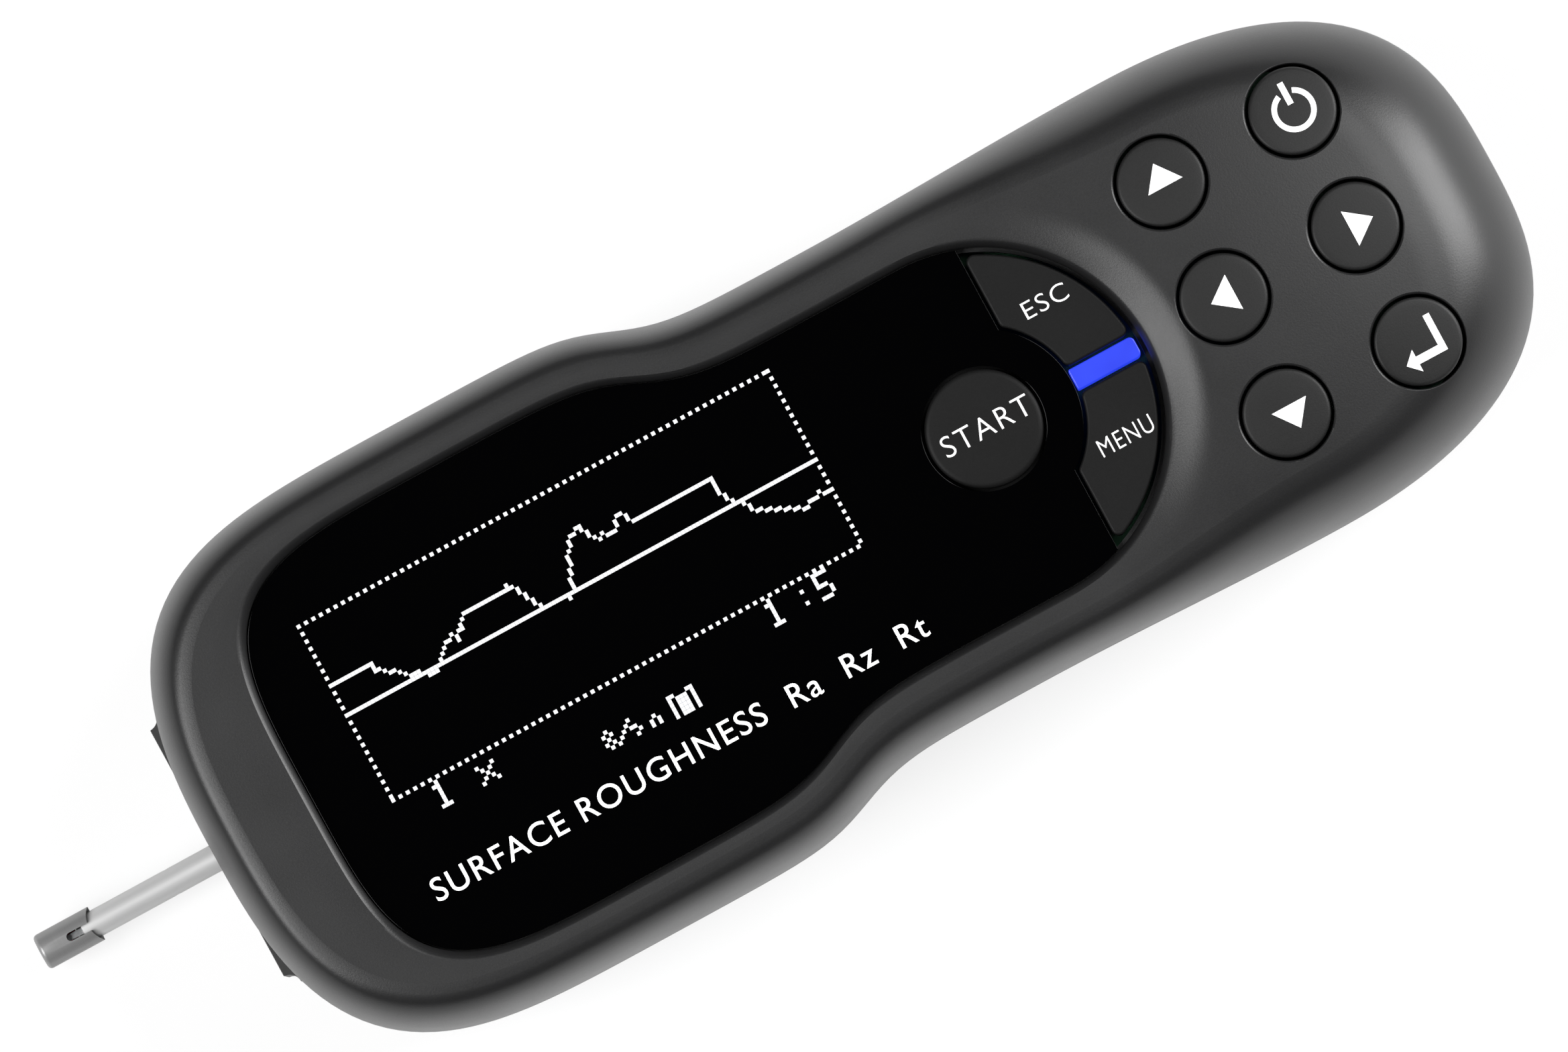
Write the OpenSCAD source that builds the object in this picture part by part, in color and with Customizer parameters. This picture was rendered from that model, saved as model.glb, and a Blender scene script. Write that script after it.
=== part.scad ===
// Hand-held surface roughness tester. A waisted two-shell housing carries a display window and nine keys.
// A motor driven carriage inside draws the stylus pickup back into the nose along the measured surface.
// Frame: +X runs from the pickup to the tail, +Z up, origin under the middle of the housing on the base.
// Stations called "_s" are measured along X from the front of the housing.

/* [Housing] */
// Length of the housing, front to tail
body_len = 158; // [154:1:166]
// Width across the display head
head_w = 63; // [61:0.5:68]
// Width at the waist
waist_w = 53.4; // [52:0.2:56]
// Width across the keypad tail
tail_w = 55; // [53:0.5:58]
// Height from the base to the crest of the keypad
body_h = 46; // [44:0.5:52]
// Height of the parting line
split_z = 22; // [20:0.5:24]
// Wall of both shells
wall = 2.2; // [1.8:0.1:2.4]
// Thickness of the floor
floor_t = 1.6; // [1.4:0.1:1.8]
// Length over which the front rounds off in plan
nose_run = 40; // [36:1:44]
// Length over which the tail rounds off in plan
tail_run = 34; // [32:1:38]
// Middle of the shoulder between head and waist
shoulder_s = 65; // [60:1:68]
// Softness of that shoulder
shoulder_soft = 6; // [4:0.5:8]
// How far the top edge of the head rolls inwards
head_edge = 4.5; // [4:0.1:4.6]
// How far the top edge of the keypad rolls inwards at the sides
tail_edge = 7; // [6:0.5:9]
// How far the top edge rolls inwards at the end of the tail
end_edge = 12; // [11:0.5:14]
// How far the base edge rolls inwards at front and sides
base_edge = 6.5; // [5:0.5:8]
// How far the base edge rolls inwards at the end of the tail
base_end = 17; // [14:0.5:20]
// Drop of the head's rim below the keypad crest
head_drop = 1.4; // [1:0.1:1.8]
// Crown of the keypad across its width
crown = 2.2; // [1.6:0.1:2.4]
// Fall of the keypad towards the tail
tail_fall = 3.5; // [2.5:0.1:3.8]

/* [Window] */
// Depth of the window below the keypad crest
window_drop = 2.8; // [2.4:0.1:3.2]
// Thickness of the window panel
window_t = 1.8; // [1.4:0.1:2]
// Station of the window's front edge
window_s = 12.6; // [11.5:0.1:14]
// Height of the window across the head
window_head = 49.8; // [47:0.2:50]
// Height of the window at the waist
window_waist = 39; // [37.5:0.1:39.4]
// Plan width of the sloped lip round the window
lip_run = 0.9; // [0.6:0.1:1]
// Rise of that lip above the window
lip_rise = 1.35; // [1.1:0.05:1.4]
// Width of the ledge that carries the window
ledge_w = 2; // [1.4:0.1:2.4]
// Thickness of that ledge
ledge_t = 1.6; // [1.2:0.1:1.8]
// Gap round the window panel
window_gap = 0.15; // [0.1:0.05:0.2]

/* [Keys] */
// Distance from the tail to the middle of the start key
ring_back = 62.5; // [61:0.5:64]
// Diameter of the start key
start_d = 12.9; // [11:0.1:14]
// Inner radius of the two side keys
ring_in = 10.8; // [10:0.1:11.5]
// Distance from the start key's middle to the straight edge of the side keys
ring_cut = 6.5; // [5.5:0.1:7]
// Width of the light bar between the side keys
bar_w = 2.4; // [2:0.1:3]
// Diameter of a round key
key_d = 9.6; // [8.5:0.1:10.2]
// Distance from the start key to the first column of round keys
pad_off = 29.5; // [29:0.1:30.5]
// Distance between the columns of round keys
pad_dx = 16.2; // [15.4:0.1:16.6]
// Distance between the rows of round keys
pad_dy = 14.2; // [13.8:0.1:14.8]
// Gap round every key
key_gap = 0.35; // [0.25:0.05:0.45]
// How far a round key stands above the keypad
key_proud = 0.15; // [0.05:0.05:0.4]
// How far the start and side keys stand above the window
ring_proud = 0.45; // [0.3:0.05:0.7]
// Travel of a key
key_travel = 0.8; // [0.6:0.1:1]
// Thickness of a key's retaining flange
flange_t = 0.8; // [0.6:0.1:0.9]
// Reach of that flange beyond the key
flange_w = 0.9; // [0.7:0.1:1]
// Gap between a flange and what stops it
flange_gap = 0.2; // [0.1:0.05:0.3]

/* [Pickup] */
// Height of the pickup axis
probe_z = 4.6; // [4.4:0.1:5.2]
// Reach of the pickup in front of the housing
probe_out = 22.3; // [21.5:0.1:26]
// Diameter of the pickup tube
tube_d = 3.1; // [2.8:0.1:3.2]
// Bore of the pickup tube
tube_bore = 2.4; // [2.2:0.1:2.5]
// Diameter of the nose sleeve
nose_d = 4.1; // [4:0.1:4.4]
// Length of the nose sleeve
nose_len = 6.9; // [6.6:0.1:8]
// Rounding of the nose sleeve's front edge
nose_round = 0.5; // [0.2:0.1:0.8]
// Height of the skid above the resting plane
skid_z = 0.45; // [0.35:0.05:0.6]
// Radius of the skid
skid_r = 1.2; // [1:0.1:1.3]
// Height of the stylus tip above the resting plane
tip_z = 0.3; // [0.25:0.05:0.4]
// Diameter of the stylus shank
shank_d = 0.8; // [0.6:0.1:0.9]
// Distance from the stylus to the arm's pivot
pivot_len = 15; // [13:0.5:16]
// Thickness of the stylus arm
arm_t = 0.7; // [0.6:0.05:0.8]
// Diameter of the pivot pin
pin_d = 0.6; // [0.5:0.05:0.7]

/* [Drive] */
// Travel of the pickup
stroke = 17.5; // [15:0.5:17.5]
// Width of the front plate
plate_w = 30.5; // [28:0.5:32]
// Thickness of the front plate
plate_t = 4.8; // [4.4:0.1:6]
// Top of the front plate
plate_top = 19.4; // [18:0.2:19.6]
// Outer width of the drive frame
frame_w = 30; // [28:0.5:32]
// Wall of the drive frame's ends
frame_wall = 4; // [3.5:0.1:5]
// Wall of the drive frame's cheeks
cheek_t = 2.4; // [2:0.1:3]
// Height of the lead screw above the pickup axis
screw_up = 9.8; // [9.4:0.1:10.4]
// Diameter of the lead screw
screw_d = 3; // [2.6:0.1:3.4]
// Height of the guide rods above the pickup axis
rod_up = 5; // [4:0.1:5.6]
// Distance between the guide rods
rod_dy = 15; // [14:0.2:16]
// Diameter of a guide rod
rod_d = 2.5; // [2:0.1:3]
// Wall of a bush or bearing
bush_t = 1; // [0.8:0.1:1.2]
// Length of the carriage
carriage_len = 15; // [14:0.5:18]
// Diameter of the drive motor
motor_d = 12; // [10:0.5:13]
// Length of the drive motor with its gearbox
motor_len = 24; // [20:1:28]
// Diameter of the shaft coupling
coupling_d = 5.2; // [4.6:0.1:5.6]
// Running clearance of shafts and rods on the radius
run_gap = 0.04; // [0.02:0.01:0.08]

/* [Boards and battery] */
// Thickness of the circuit boards
board_t = 1.6; // [1.2:0.1:1.8]
// Gap between the window ledge and the main board
board_drop = 3.2; // [3:0.1:3.8]
// Height of a key switch
switch_h = 1; // [0.9:0.1:1.2]
// Distance from the rear of the display module to the middle of the start key
panel_back = 13.9; // [12.5:0.1:16]
// Width of the display module
panel_w = 37; // [33:0.5:38]
// Length of the battery
cell_len = 40; // [34:1:44]
// Width of the battery
cell_w = 30; // [26:1:30]
// Thickness of the battery
cell_t = 9; // [6:0.5:12]

/* [Fasteners] */
// Diameter of the case screws
case_d = 2.4; // [2:0.1:2.6]
// Diameter of the small screws
small_d = 1.8; // [1.6:0.1:2]
// Radius of a case post
post_r = 3; // [2.6:0.1:3.2]
// Clearance of a screw in its hole on the radius
screw_gap = 0.05; // [0.03:0.01:0.1]

/* [Hidden] */
$fn = 48;

// Points round the outline: front quarter, flank of the window, flank of the keypad, tail quarter
nose_steps = 18;
flank_steps = 14;
pad_steps = 5;
tail_steps = 13;
flank_i = nose_steps + flank_steps;
tail_i = flank_i + pad_steps;
half_steps = tail_i + tail_steps;
loop_steps = 2 * half_steps;
roll_steps = 6;
inner_steps = 4;
slope_steps = 3;

// Superellipse powers of the plan ends, the rolled edges and the window's front corners
nose_pow = [4, 2.8];
tail_pow = [2.3, 2.9];
window_pow = 4;
head_pow = 3;
keypad_pow = 2.4;
base_pow = 2.6;

// Stations along the housing
waist_ahead = 7.5;
crest_behind = 25;
ring_s = body_len - ring_back;
waist_s = ring_s - waist_ahead;
tail_s = body_len - tail_run;
crest_s = ring_s + crest_behind;
col_a = ring_s + pad_off;
col_b = col_a + pad_dx;

// Insets of the rolled edges: front, head side, keypad side, tail end
flush = [0, 0, 0, 0];
top_in = [head_edge, head_edge, tail_edge, end_edge];
base_in = [base_edge, base_edge, base_edge, base_end];
wall_in = [wall, wall, wall, wall];
roll_thin = 0.4;
under_in = [for (e = top_in) max(wall + roll_thin, e - roll_thin)];
floor_in = [for (e = base_in) e + wall / 2];
seam = 0.35;
seam_in = [seam, seam, seam, seam];

// Levels from the crest downwards
head_z = body_h - head_drop;
window_z = body_h - window_drop;
lip_z = window_z + lip_rise;
ledge_z = window_z - window_t;
under_z = ledge_z - ledge_t;
board_z = under_z - board_drop;
post_top = under_z + ledge_t / 2;
switch_gap = 0.1;
key_rest = board_z + switch_h + key_travel + switch_gap;
pocket_wall = 1.2;
lip_slope = 4.5;
ring_r = window_waist / 2;
ledge_min = 0.3;

// Drive stations, front to rear, with the room left at both ends of the carriage's travel
plate_s = 0.2;
front_room = 5;
rear_room = 6.5;
frame_s = plate_s + plate_t;
chamber_s = frame_s + frame_wall;
carriage_s = chamber_s + front_room;
carriage_end = carriage_s + carriage_len;
rear_s = carriage_end + stroke + rear_room;
motor_s = rear_s + frame_wall;

// Levels and widths of the drive
floor_gap = 0.2;
screw_cover = 5;
carriage_lift = 0.35;
carriage_clear = 0.8;
cheek_gap = 1;
frame_z = floor_t + floor_gap;
screw_z = probe_z + screw_up;
rod_z = probe_z + rod_up;
frame_top = screw_z + screw_cover;
carriage_z = floor_t + carriage_lift;
carriage_top = frame_top - carriage_clear;
carriage_w = frame_w - 2 * (cheek_t + cheek_gap);
nut_wall = 1.5;
nut_rim = 1.2;
nut_flange_t = 1.2;
nut_d = screw_d + 2 * nut_wall;
nut_flange = nut_d + 2 * nut_rim;
coupling_len = 8;
coupling_gap = 0.4;
coupling_s = motor_s - coupling_len - coupling_gap;
coupling_mid = coupling_s + coupling_len / 2;
shaft_d = 2;
shaft_in = 3.6;
journal_d = screw_d - 1;
rod_seat = [2, 3];
bearing_seat = 3;
port_gap = 0.55;
port_d = nose_d + 2 * port_gap;

// Pickup stations, front to rear
tip_back = 1.3;
tube_lap = 1.65;
skid_back = 2;
plug_out = 3.2;
plug_wall = 0.25;
plug_tail = 5.2;
socket_wall = 0.45;
socket_out = 2;
socket_tail = 3;
tube_in = 2.9;
nose_s = -probe_out;
tip_s = nose_s + tip_back;
pivot_s = tip_s + pivot_len;
sleeve_end = nose_s + nose_len;
tube_s = sleeve_end - tube_lap;
skid_s = tip_s + skid_back;
skid_l = 1.2;
plug_d = tube_d + 2 * plug_wall;
plug_s = carriage_s - plug_out;
socket_d = plug_d + 2 * socket_wall;
fit_gap = 0.03;

// A cut runs this far past the face it opens, a joined form this far into its neighbour
over = 1;
bite = 0.6;

// Steps round the side keys, and the angle left free where an arc meets a rounded corner
rim_steps = 20;
notch_steps = 10;
corner_steps = 4;
lead_in = 12;

// Fasteners
case_head = case_d + 2;
small_head = small_d + 1.7;
head_t = 1.1;
head_gap = 0.3;
slot_w = 0.5;
slot_deep = 0.6;
case_sink = 4;
case_hold = 10;
small_hold = 2.6;
hole_spare = 0.4;
post_in = 8.2;
front_post_s = 22;
rear_post_run = 16.5;
rear_post_s = ring_s + rear_post_run;
posts = [for (s = [front_post_s, rear_post_s], y = [-1, 1]) [s, y * (half_w(s) - post_in)]];
chip_t = 1.4;
chip_big = 14;
chip_back = 21;
chip_edge = 0.4;
chip_s = shoulder_s - chip_back;
amp_l = 9;
amp_w = 7;
amp_run = [1, 17];
amp_s = [for (run = amp_run) shoulder_s + run];
link_l = 6;
link_w = 12;
link_h = 2.2;
link_run = 8;
link_s = front_post_s + link_run;
board_post_r = 2.2;
board_nose = [8, 12];
board_pad = [(col_a + col_b) / 2, pad_dy / 2];
board_posts = [for (p = [board_nose, board_pad], y = [-1, 1]) [p[0], y * p[1]]];
plate_screw_in = 1.6;
plate_screw_y = frame_w / 2 - cheek_t - plate_screw_in;
plate_screw_drop = 2;
plate_screw_z = screw_z - plate_screw_drop;
plate_low = 0.95;
lug_l = 7;
lug_w = 6;
lug_t = 2;
lug_ends = [4, 6];
lug_root = 0.5;
lug_z = floor_t + 3;
lug_y = frame_w / 2 + lug_w / 2 - lug_root;
lugs = [for (s = [chamber_s + lug_ends[0], rear_s - lug_ends[1]], y = [-1, 1]) [s, y * lug_y]];

// Boards and battery
panel_front = 2;
panel_gap = 0.5;
panel_step = 1.5;
panel_s = window_s + ledge_w + panel_front;
panel_end = ring_s - panel_back;
panel_t = ledge_z - board_z - panel_gap;
cell_room = 5;
cell_s = motor_s + motor_len + cell_room;
cell_gap = 0.2;
cheek_l = 3;
cheek_h = 4;
cheek_w = 2;
charge_l = 10.8;
charge_w = 16;
charge_t = 1.2;
charge_z = 9;
charge_hold = 3.4;
charge_post_d = 4.4;
charge_in = [2.4, 2.6];
usb_w = 7.7;
usb_h = 3.9;
usb_l = 9;
usb_deep = 1;
usb_gap = 0.25;
usb_s = body_len - usb_l - usb_deep;
charge_front = 6;
charge_s = usb_s - charge_front;
usb_cut = 2;
charge_posts = [for (y = [-1, 1]) [charge_s + charge_in[0], y * (charge_w / 2 - charge_in[1])]];

// Keys
stem_d = 3;
cap_root = 0.5;
side_key_r = ring_r - ledge_min - key_gap;
side_stem = 10.6;
side_switch = [for (y = [-1, 1]) [ring_s + side_stem, y * side_stem]];
pad_keys = [for (s = [col_a, col_b], y = [-1:1]) [s, y * pad_dy]];
lamp_h = 0.9;

// Plan of the housing

function mix(a, b, t) = a + (b - a) * t;
function ease(a, b, s) = let (t = min(1, max(0, (s - a) / (b - a)))) t * t * (3 - 2 * t);
function fall(s) = 1 / (1 + exp(2 * (s - shoulder_s) / shoulder_soft));
function half_w(s) = waist_w / 2 + (head_w - waist_w) / 2 * fall(s)
    + (tail_w - waist_w) / 2 * ease(waist_s, tail_s, s);
function half_in(s, inset) = half_w(s) - mix(inset[1], inset[2], ease(ring_s, tail_s, s));
function nose_pt(t, inset) = let (s = nose_run - (nose_run - inset[0]) * pow(cos(t), 2 / nose_pow[0]))
    [s, half_in(s, inset) * pow(sin(t), 2 / nose_pow[1])];
function tail_pt(t, inset) = let (s = tail_s + (tail_run - inset[3]) * pow(sin(t), 2 / tail_pow[0]))
    [s, half_in(s, inset) * pow(cos(t), 2 / tail_pow[1])];
function flank_pt(s, inset) = [s, half_in(s, inset)];

// One side of the outline, from the middle of the front round to the middle of the tail
function side_pt(i, inset) =
    i < nose_steps ? nose_pt(90 * i / nose_steps, inset) :
    i < flank_i ? flank_pt(mix(nose_run, ring_s, (i - nose_steps) / flank_steps), inset) :
    i < tail_i ? flank_pt(mix(ring_s, tail_s, (i - flank_i) / pad_steps), inset) :
    tail_pt(90 * (i - tail_i) / tail_steps, inset);

// The window: rounded front, flanks that follow the housing, and an arc about the start key
function window_half(s) = window_waist / 2 + (window_head - window_waist) / 2 * fall(s);
function window_nose(t, grow) =
    let (s = nose_run - (nose_run - window_s + grow) * pow(cos(t), 2 / window_pow))
    [s, (window_half(s) + grow) * pow(sin(t), 2 / window_pow)];
function window_arc(p, grow) = let (a = atan2(p[1], p[0] - ring_s))
    [ring_s + (ring_r + grow) * cos(a), (ring_r + grow) * sin(a)];
function window_side(i, grow) = let (p = side_pt(i, flush))
    i < nose_steps ? window_nose(90 * i / nose_steps, grow) :
    i < flank_i ? [p[0], window_half(p[0]) + grow] :
    window_arc(p, grow);

// Both sides as one loop
function other(i) = i <= half_steps ? i : loop_steps - i;
function flip(p, i) = i <= half_steps ? p : [p[0], -p[1]];
function outline(i, inset) = flip(side_pt(other(i), inset), i);
function window(i, grow) = flip(window_side(other(i), grow), i);
function lift(p, z) = [p[0] - body_len / 2, p[1], z];

// Form of the top

function rise(s) = ease(ring_s, crest_s, s);
function tail_drop(s) = tail_fall * pow(max(0, s - crest_s) / (body_len - crest_s), 2);
function top_z(p) = mix(head_z, body_h, rise(p[0])) - tail_drop(p[0])
    - crown * rise(p[0]) * pow(p[1] / half_w(p[0]), 2);
function edge_pow(s) = mix(head_pow, keypad_pow, ease(ring_s, tail_s, s));
function roll(a, b, za, zb, t, n) = lift(mix(a, b, 1 - pow(cos(t), 2 / n)), mix(za, zb, pow(sin(t), 2 / n)));

// Share of the rolled edge that is left outside a point of the keypad, found by halving
function edge_share(p, lo = 0, hi = 1, n = 16) =
    let (
        m = (lo + hi) / 2,
        inset = m * top_in,
        across = abs(p[1]) / half_in(p[0], inset),
        along = max(0, p[0] - tail_s) / (tail_run - inset[3]),
        within = pow(along, tail_pow[0]) + pow(across, tail_pow[1]) < 1
    )
    n == 0 ? m : within ? edge_share(p, m, hi, n - 1) : edge_share(p, lo, m, n - 1);

// Height of the keypad at any point, rolled edge included
function keypad_z(p) =
    let (n = edge_pow(p[0]), c = pow(1 - edge_share(p), n / 2))
    mix(split_z, top_z(p), pow(max(0, 1 - c * c), 1 / n));

// Room inside the upper shell at one level
function room(i, z) =
    let (
        foot = outline(i, wall_in),
        crest = outline(i, under_in),
        n = edge_pow(outline(i, flush)[0]),
        share = min(1, max(0, (z - split_z) / (top_z(crest) - wall - split_z)))
    )
    mix(foot, crest, 1 - pow(1 - pow(share, n), 1 / n));

// Width of the window ledge, which dies away where the side keys run out to the rim
function ledge_at(i) = let (p = side_pt(other(i), flush), a = atan2(p[1], p[0] - ring_s))
    other(i) < flank_i ? ledge_w : mix(ledge_w, ledge_min, ease(0, 18, 90 - a));

// Cross-section of the upper shell at one point of the loop: out over the rim, into the window, back inside
function upper_section(i) =
    let (
        foot = outline(i, flush),
        crest = outline(i, top_in),
        lip = window(i, lip_run),
        inner_foot = outline(i, wall_in),
        inner_crest = outline(i, under_in),
        inner_lip = window(i, pocket_wall + 0.5),
        span = norm(lip - crest),
        slope = min(lip_slope, 0.6 * span) / span,
        ledge = ledge_at(i),
        n = edge_pow(foot[0])
    )
    concat(
        [for (k = [0:roll_steps]) roll(foot, crest, split_z, top_z(crest), 90 * k / roll_steps, n)],
        [for (k = [1:slope_steps]) let (p = mix(crest, lip, (1 - slope) * k / slope_steps)) lift(p, top_z(p))],
        [
            for (k = [1:slope_steps])
                let (q = k / slope_steps, p = mix(crest, lip, 1 - slope * (1 - q)))
                lift(p, mix(top_z(p), lip_z, 1 - cos(90 * q)))
        ],
        [
            lift(window(i, window_gap), window_z),
            lift(window(i, window_gap), ledge_z),
            lift(window(i, -ledge), ledge_z),
            lift(window(i, -ledge), under_z),
            lift(window(i, pocket_wall), under_z)
        ],
        [
            for (k = [0:slope_steps - 1])
                let (p = mix(inner_lip, inner_crest, k / slope_steps)) lift(p, top_z(p) - wall)
        ],
        [
            for (k = [inner_steps:-1:0])
                roll(inner_foot, inner_crest, split_z, top_z(inner_crest) - wall, 90 * k / inner_steps, n)
        ]
    );

// Cross-section of the lower shell: from the base up the outside, over the rim, down inside to the floor
function lower_section(i) =
    let (
        foot = outline(i, base_in),
        rim = outline(i, flush),
        inner_foot = outline(i, floor_in),
        inner_rim = outline(i, wall_in)
    )
    concat(
        [for (k = [roll_steps:-1:0]) roll(rim, foot, split_z - seam, 0, 90 * k / roll_steps, base_pow)],
        [lift(outline(i, seam_in), split_z)],
        [for (k = [0:roll_steps]) roll(inner_rim, inner_foot, split_z, floor_t, 90 * k / roll_steps, base_pow)]
    );

// Skin through equal sections round the loop. A closed section makes a ring, an open one gets two end faces.
module skin(sections, closed) {
    m = len(sections[0]);
    n = len(sections);
    quads = [
        for (i = [0:n - 1], k = [0:closed ? m - 1 : m - 2])
            let (a = i * m, b = ((i + 1) % n) * m, l = (k + 1) % m) [a + k, b + k, b + l, a + l]
    ];
    walls = [for (q = quads, t = [[q[0], q[1], q[2]], [q[0], q[2], q[3]]]) t];
    ends = closed ? [] : [[for (i = [n - 1:-1:0]) i * m], [for (i = [0:n - 1]) i * m + m - 1]];
    polyhedron([for (s = sections, p = s) p], concat(walls, ends), convexity = 8);
}

// Helpers

module at(p, z = 0) {
    translate([p[0] - body_len / 2, p[1], z]) children();
}

// A cylinder along X between two stations
module shaft(s0, s1, d, z, y = 0) {
    translate([s0 - body_len / 2, y, z]) rotate([0, 90, 0]) cylinder(d = d, h = s1 - s0);
}

// A box between two stations, centred on Y
module block(s0, s1, w, z0, z1, y = 0) {
    translate([s0 - body_len / 2, y - w / 2, z0]) cube([s1 - s0, w, z1 - z0]);
}

// A plate in plan with rounded corners
module slab(s0, s1, w, z0, z1, r) {
    translate([(s0 + s1) / 2 - body_len / 2, 0, z0]) linear_extrude(z1 - z0) {
        square([s1 - s0 - 2 * r, w], center = true);
        square([s1 - s0, w - 2 * r], center = true);
        for (x = [-1, 1], y = [-1, 1]) translate([x * ((s1 - s0) / 2 - r), y * (w / 2 - r)]) circle(r);
    }
}

// Housing

module case_post(p, z0, z1) {
    at(p, z0) cylinder(r = post_r, h = z1 - z0);
}

// A post of the upper shell with the rib that ties it to the side wall
module upper_post(p) {
    rib_t = 1.6;
    rib_h = 11;
    y0 = abs(p[1]);
    y1 = half_w(p[0]) - wall / 2;
    case_post(p, split_z, p[0] < ring_s ? post_top : top_z(p) - wall + bite / 2);
    block(p[0] - rib_t / 2, p[0] + rib_t / 2, y1 - y0, split_z, split_z + rib_h, sign(p[1]) * (y0 + y1) / 2);
}

module key_hole(p) {
    at(p, board_z) cylinder(d = key_d + 2 * key_gap, h = body_h);
}

module upper_shell() {
    color("#2c2c2e") difference() {
        union() {
            skin([for (i = [0:loop_steps - 1]) upper_section(i)], true);
            for (p = posts) upper_post(p);
            for (p = board_posts) at(p, board_z)
                cylinder(r = board_post_r, h = top_z(p) - wall + bite / 2 - board_z);
        }
        for (p = pad_keys) key_hole(p);
        for (p = posts) at(p, split_z - over)
            cylinder(d = case_d + 2 * screw_gap, h = over + case_hold + hole_spare);
        for (p = board_posts) at(p, board_z - over)
            cylinder(d = small_d + 2 * screw_gap, h = over + small_hold + hole_spare);
    }
}

// Plan of the front plate: a straight block whose root flares into the housing
module plate_plan(grow) {
    flare = 1.4;
    root = 2.4;
    half = plate_w / 2 + grow;
    translate([plate_s - body_len / 2, 0]) difference() {
        union() {
            translate([-grow, -half]) square([plate_t + grow, 2 * half]);
            translate([0, -half - flare]) square([root + grow, 2 * (half + flare)]);
        }
        for (y = [-1, 1]) translate([0, y * (half + flare)]) circle(flare);
        for (y = [-1, 1]) translate([-flare, y * (half + flare)]) square(2 * flare, center = true);
    }
}

module lower_shell() {
    sunk = floor_t - bite;
    cheek_y = (cell_w + cheek_w) / 2 + cell_gap;
    color("#262628") difference() {
        union() {
            skin([for (i = [0:loop_steps - 1]) lower_section(i)], false);
            for (p = posts) case_post(p, sunk, split_z);
            for (p = lugs) at(p, sunk) cylinder(d = lug_w - 1, h = lug_z - sunk);
            for (s = [cell_s, cell_s + cell_len - cheek_l], y = [-1, 1])
                block(s, s + cheek_l, cheek_w, sunk, floor_t + cheek_h, y * cheek_y);
            for (p = charge_posts) at(p, sunk) cylinder(d = charge_post_d, h = charge_z - sunk);
        }
        translate([0, 0, plate_low - window_gap]) linear_extrude(plate_top - plate_low + 2 * window_gap)
            plate_plan(window_gap);
        block(
            frame_s - floor_gap, chamber_s + over, frame_w + 3 * floor_gap,
            frame_z - floor_gap / 2, frame_top + floor_gap
        );
        for (p = posts) {
            at(p, -over) cylinder(d = case_d + 2 * screw_gap, h = body_h);
            at(p, -over) cylinder(d = case_head + 2 * head_gap, h = case_sink + over);
        }
        for (p = lugs) at(p, floor_t) cylinder(d = small_d + 2 * screw_gap, h = lug_z);
        for (p = charge_posts) at(p, charge_z - charge_hold - hole_spare)
            cylinder(d = small_d + 2 * screw_gap, h = charge_z);
        block(
            usb_s + usb_cut, body_len + over, usb_w + 2 * usb_gap,
            charge_z + charge_t - usb_gap, charge_z + charge_t + usb_h + usb_gap
        );
    }
}

module front_plate() {
    rebate = 0.8;
    color("#1d1d1f") difference() {
        translate([0, 0, plate_low]) linear_extrude(plate_top - plate_low) plate_plan(0);
        shaft(-over, frame_s + over, port_d, probe_z);
        shaft(-over, plate_s + rebate, port_d + 2 * rebate, probe_z);
        for (y = [-1, 1]) {
            shaft(-over, frame_s + over, small_d + 2 * screw_gap, plate_screw_z, y * plate_screw_y);
            shaft(-over, plate_head_s, small_head + 2 * head_gap, plate_screw_z, y * plate_screw_y);
        }
    }
}

// Seat of the front plate's screw heads
plate_head_s = plate_s + head_t + floor_gap;

// A pan head screw along X with a cross-slot in its head
module plate_screw(y) {
    s = plate_head_s;
    cross = small_head / 3;
    z = plate_screw_z;
    difference() {
        union() {
            shaft(s - head_t, s, small_head, z, y);
            shaft(s - 0.1, frame_s + small_hold, small_d, z, y);
        }
        block(s - head_t - over, s - head_t + slot_deep, 2 * cross, z - slot_w / 2, z + slot_w / 2, y);
        block(s - head_t - over, s - head_t + slot_deep, slot_w, z - cross, z + cross, y);
    }
}

module plate_screws() {
    color("#b9bbbd") for (y = [-1, 1]) plate_screw(y * plate_screw_y);
}

// A screw that points up or down from the seat of its head, with a cross-slot
module post_screw(d, head_d, length, up) {
    cross = head_d / 3;
    mirror([0, 0, up ? 0 : 1]) difference() {
        union() {
            translate([0, 0, -head_t]) cylinder(d = head_d, h = head_t);
            translate([0, 0, -head_t / 2]) cylinder(d = d, h = length + head_t / 2);
        }
        for (a = [0, 90]) rotate(a) translate([-cross, -slot_w / 2, -head_t - over])
            cube([2 * cross, slot_w, over + slot_deep]);
    }
}

module case_screws() {
    reach = split_z + case_hold - case_sink;
    color("#8d8f92") for (p = posts) at(p, case_sink) post_screw(case_d, case_head, reach, true);
}

// Window and boards

// The sector between the start key's surround and the window's rim, right of the straight cut
module ring_sector(inner, outer, cut, depth) {
    linear_extrude(depth) intersection() {
        difference() {
            circle(outer);
            circle(inner);
        }
        translate([cut, -outer]) square(2 * outer);
    }
}

module display_window() {
    color("#0a0a0c") difference() {
        translate([0, 0, ledge_z]) linear_extrude(window_t)
            polygon([for (i = [0:loop_steps - 1]) let (p = window(i, 0)) [p[0] - body_len / 2, p[1]]]);
        at([ring_s, 0], ledge_z - over) {
            cylinder(d = start_d + 2 * key_gap, h = window_t + 2 * over);
            ring_sector(ring_in, ring_r + over, ring_cut, window_t + 2 * over);
        }
    }
}

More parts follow.
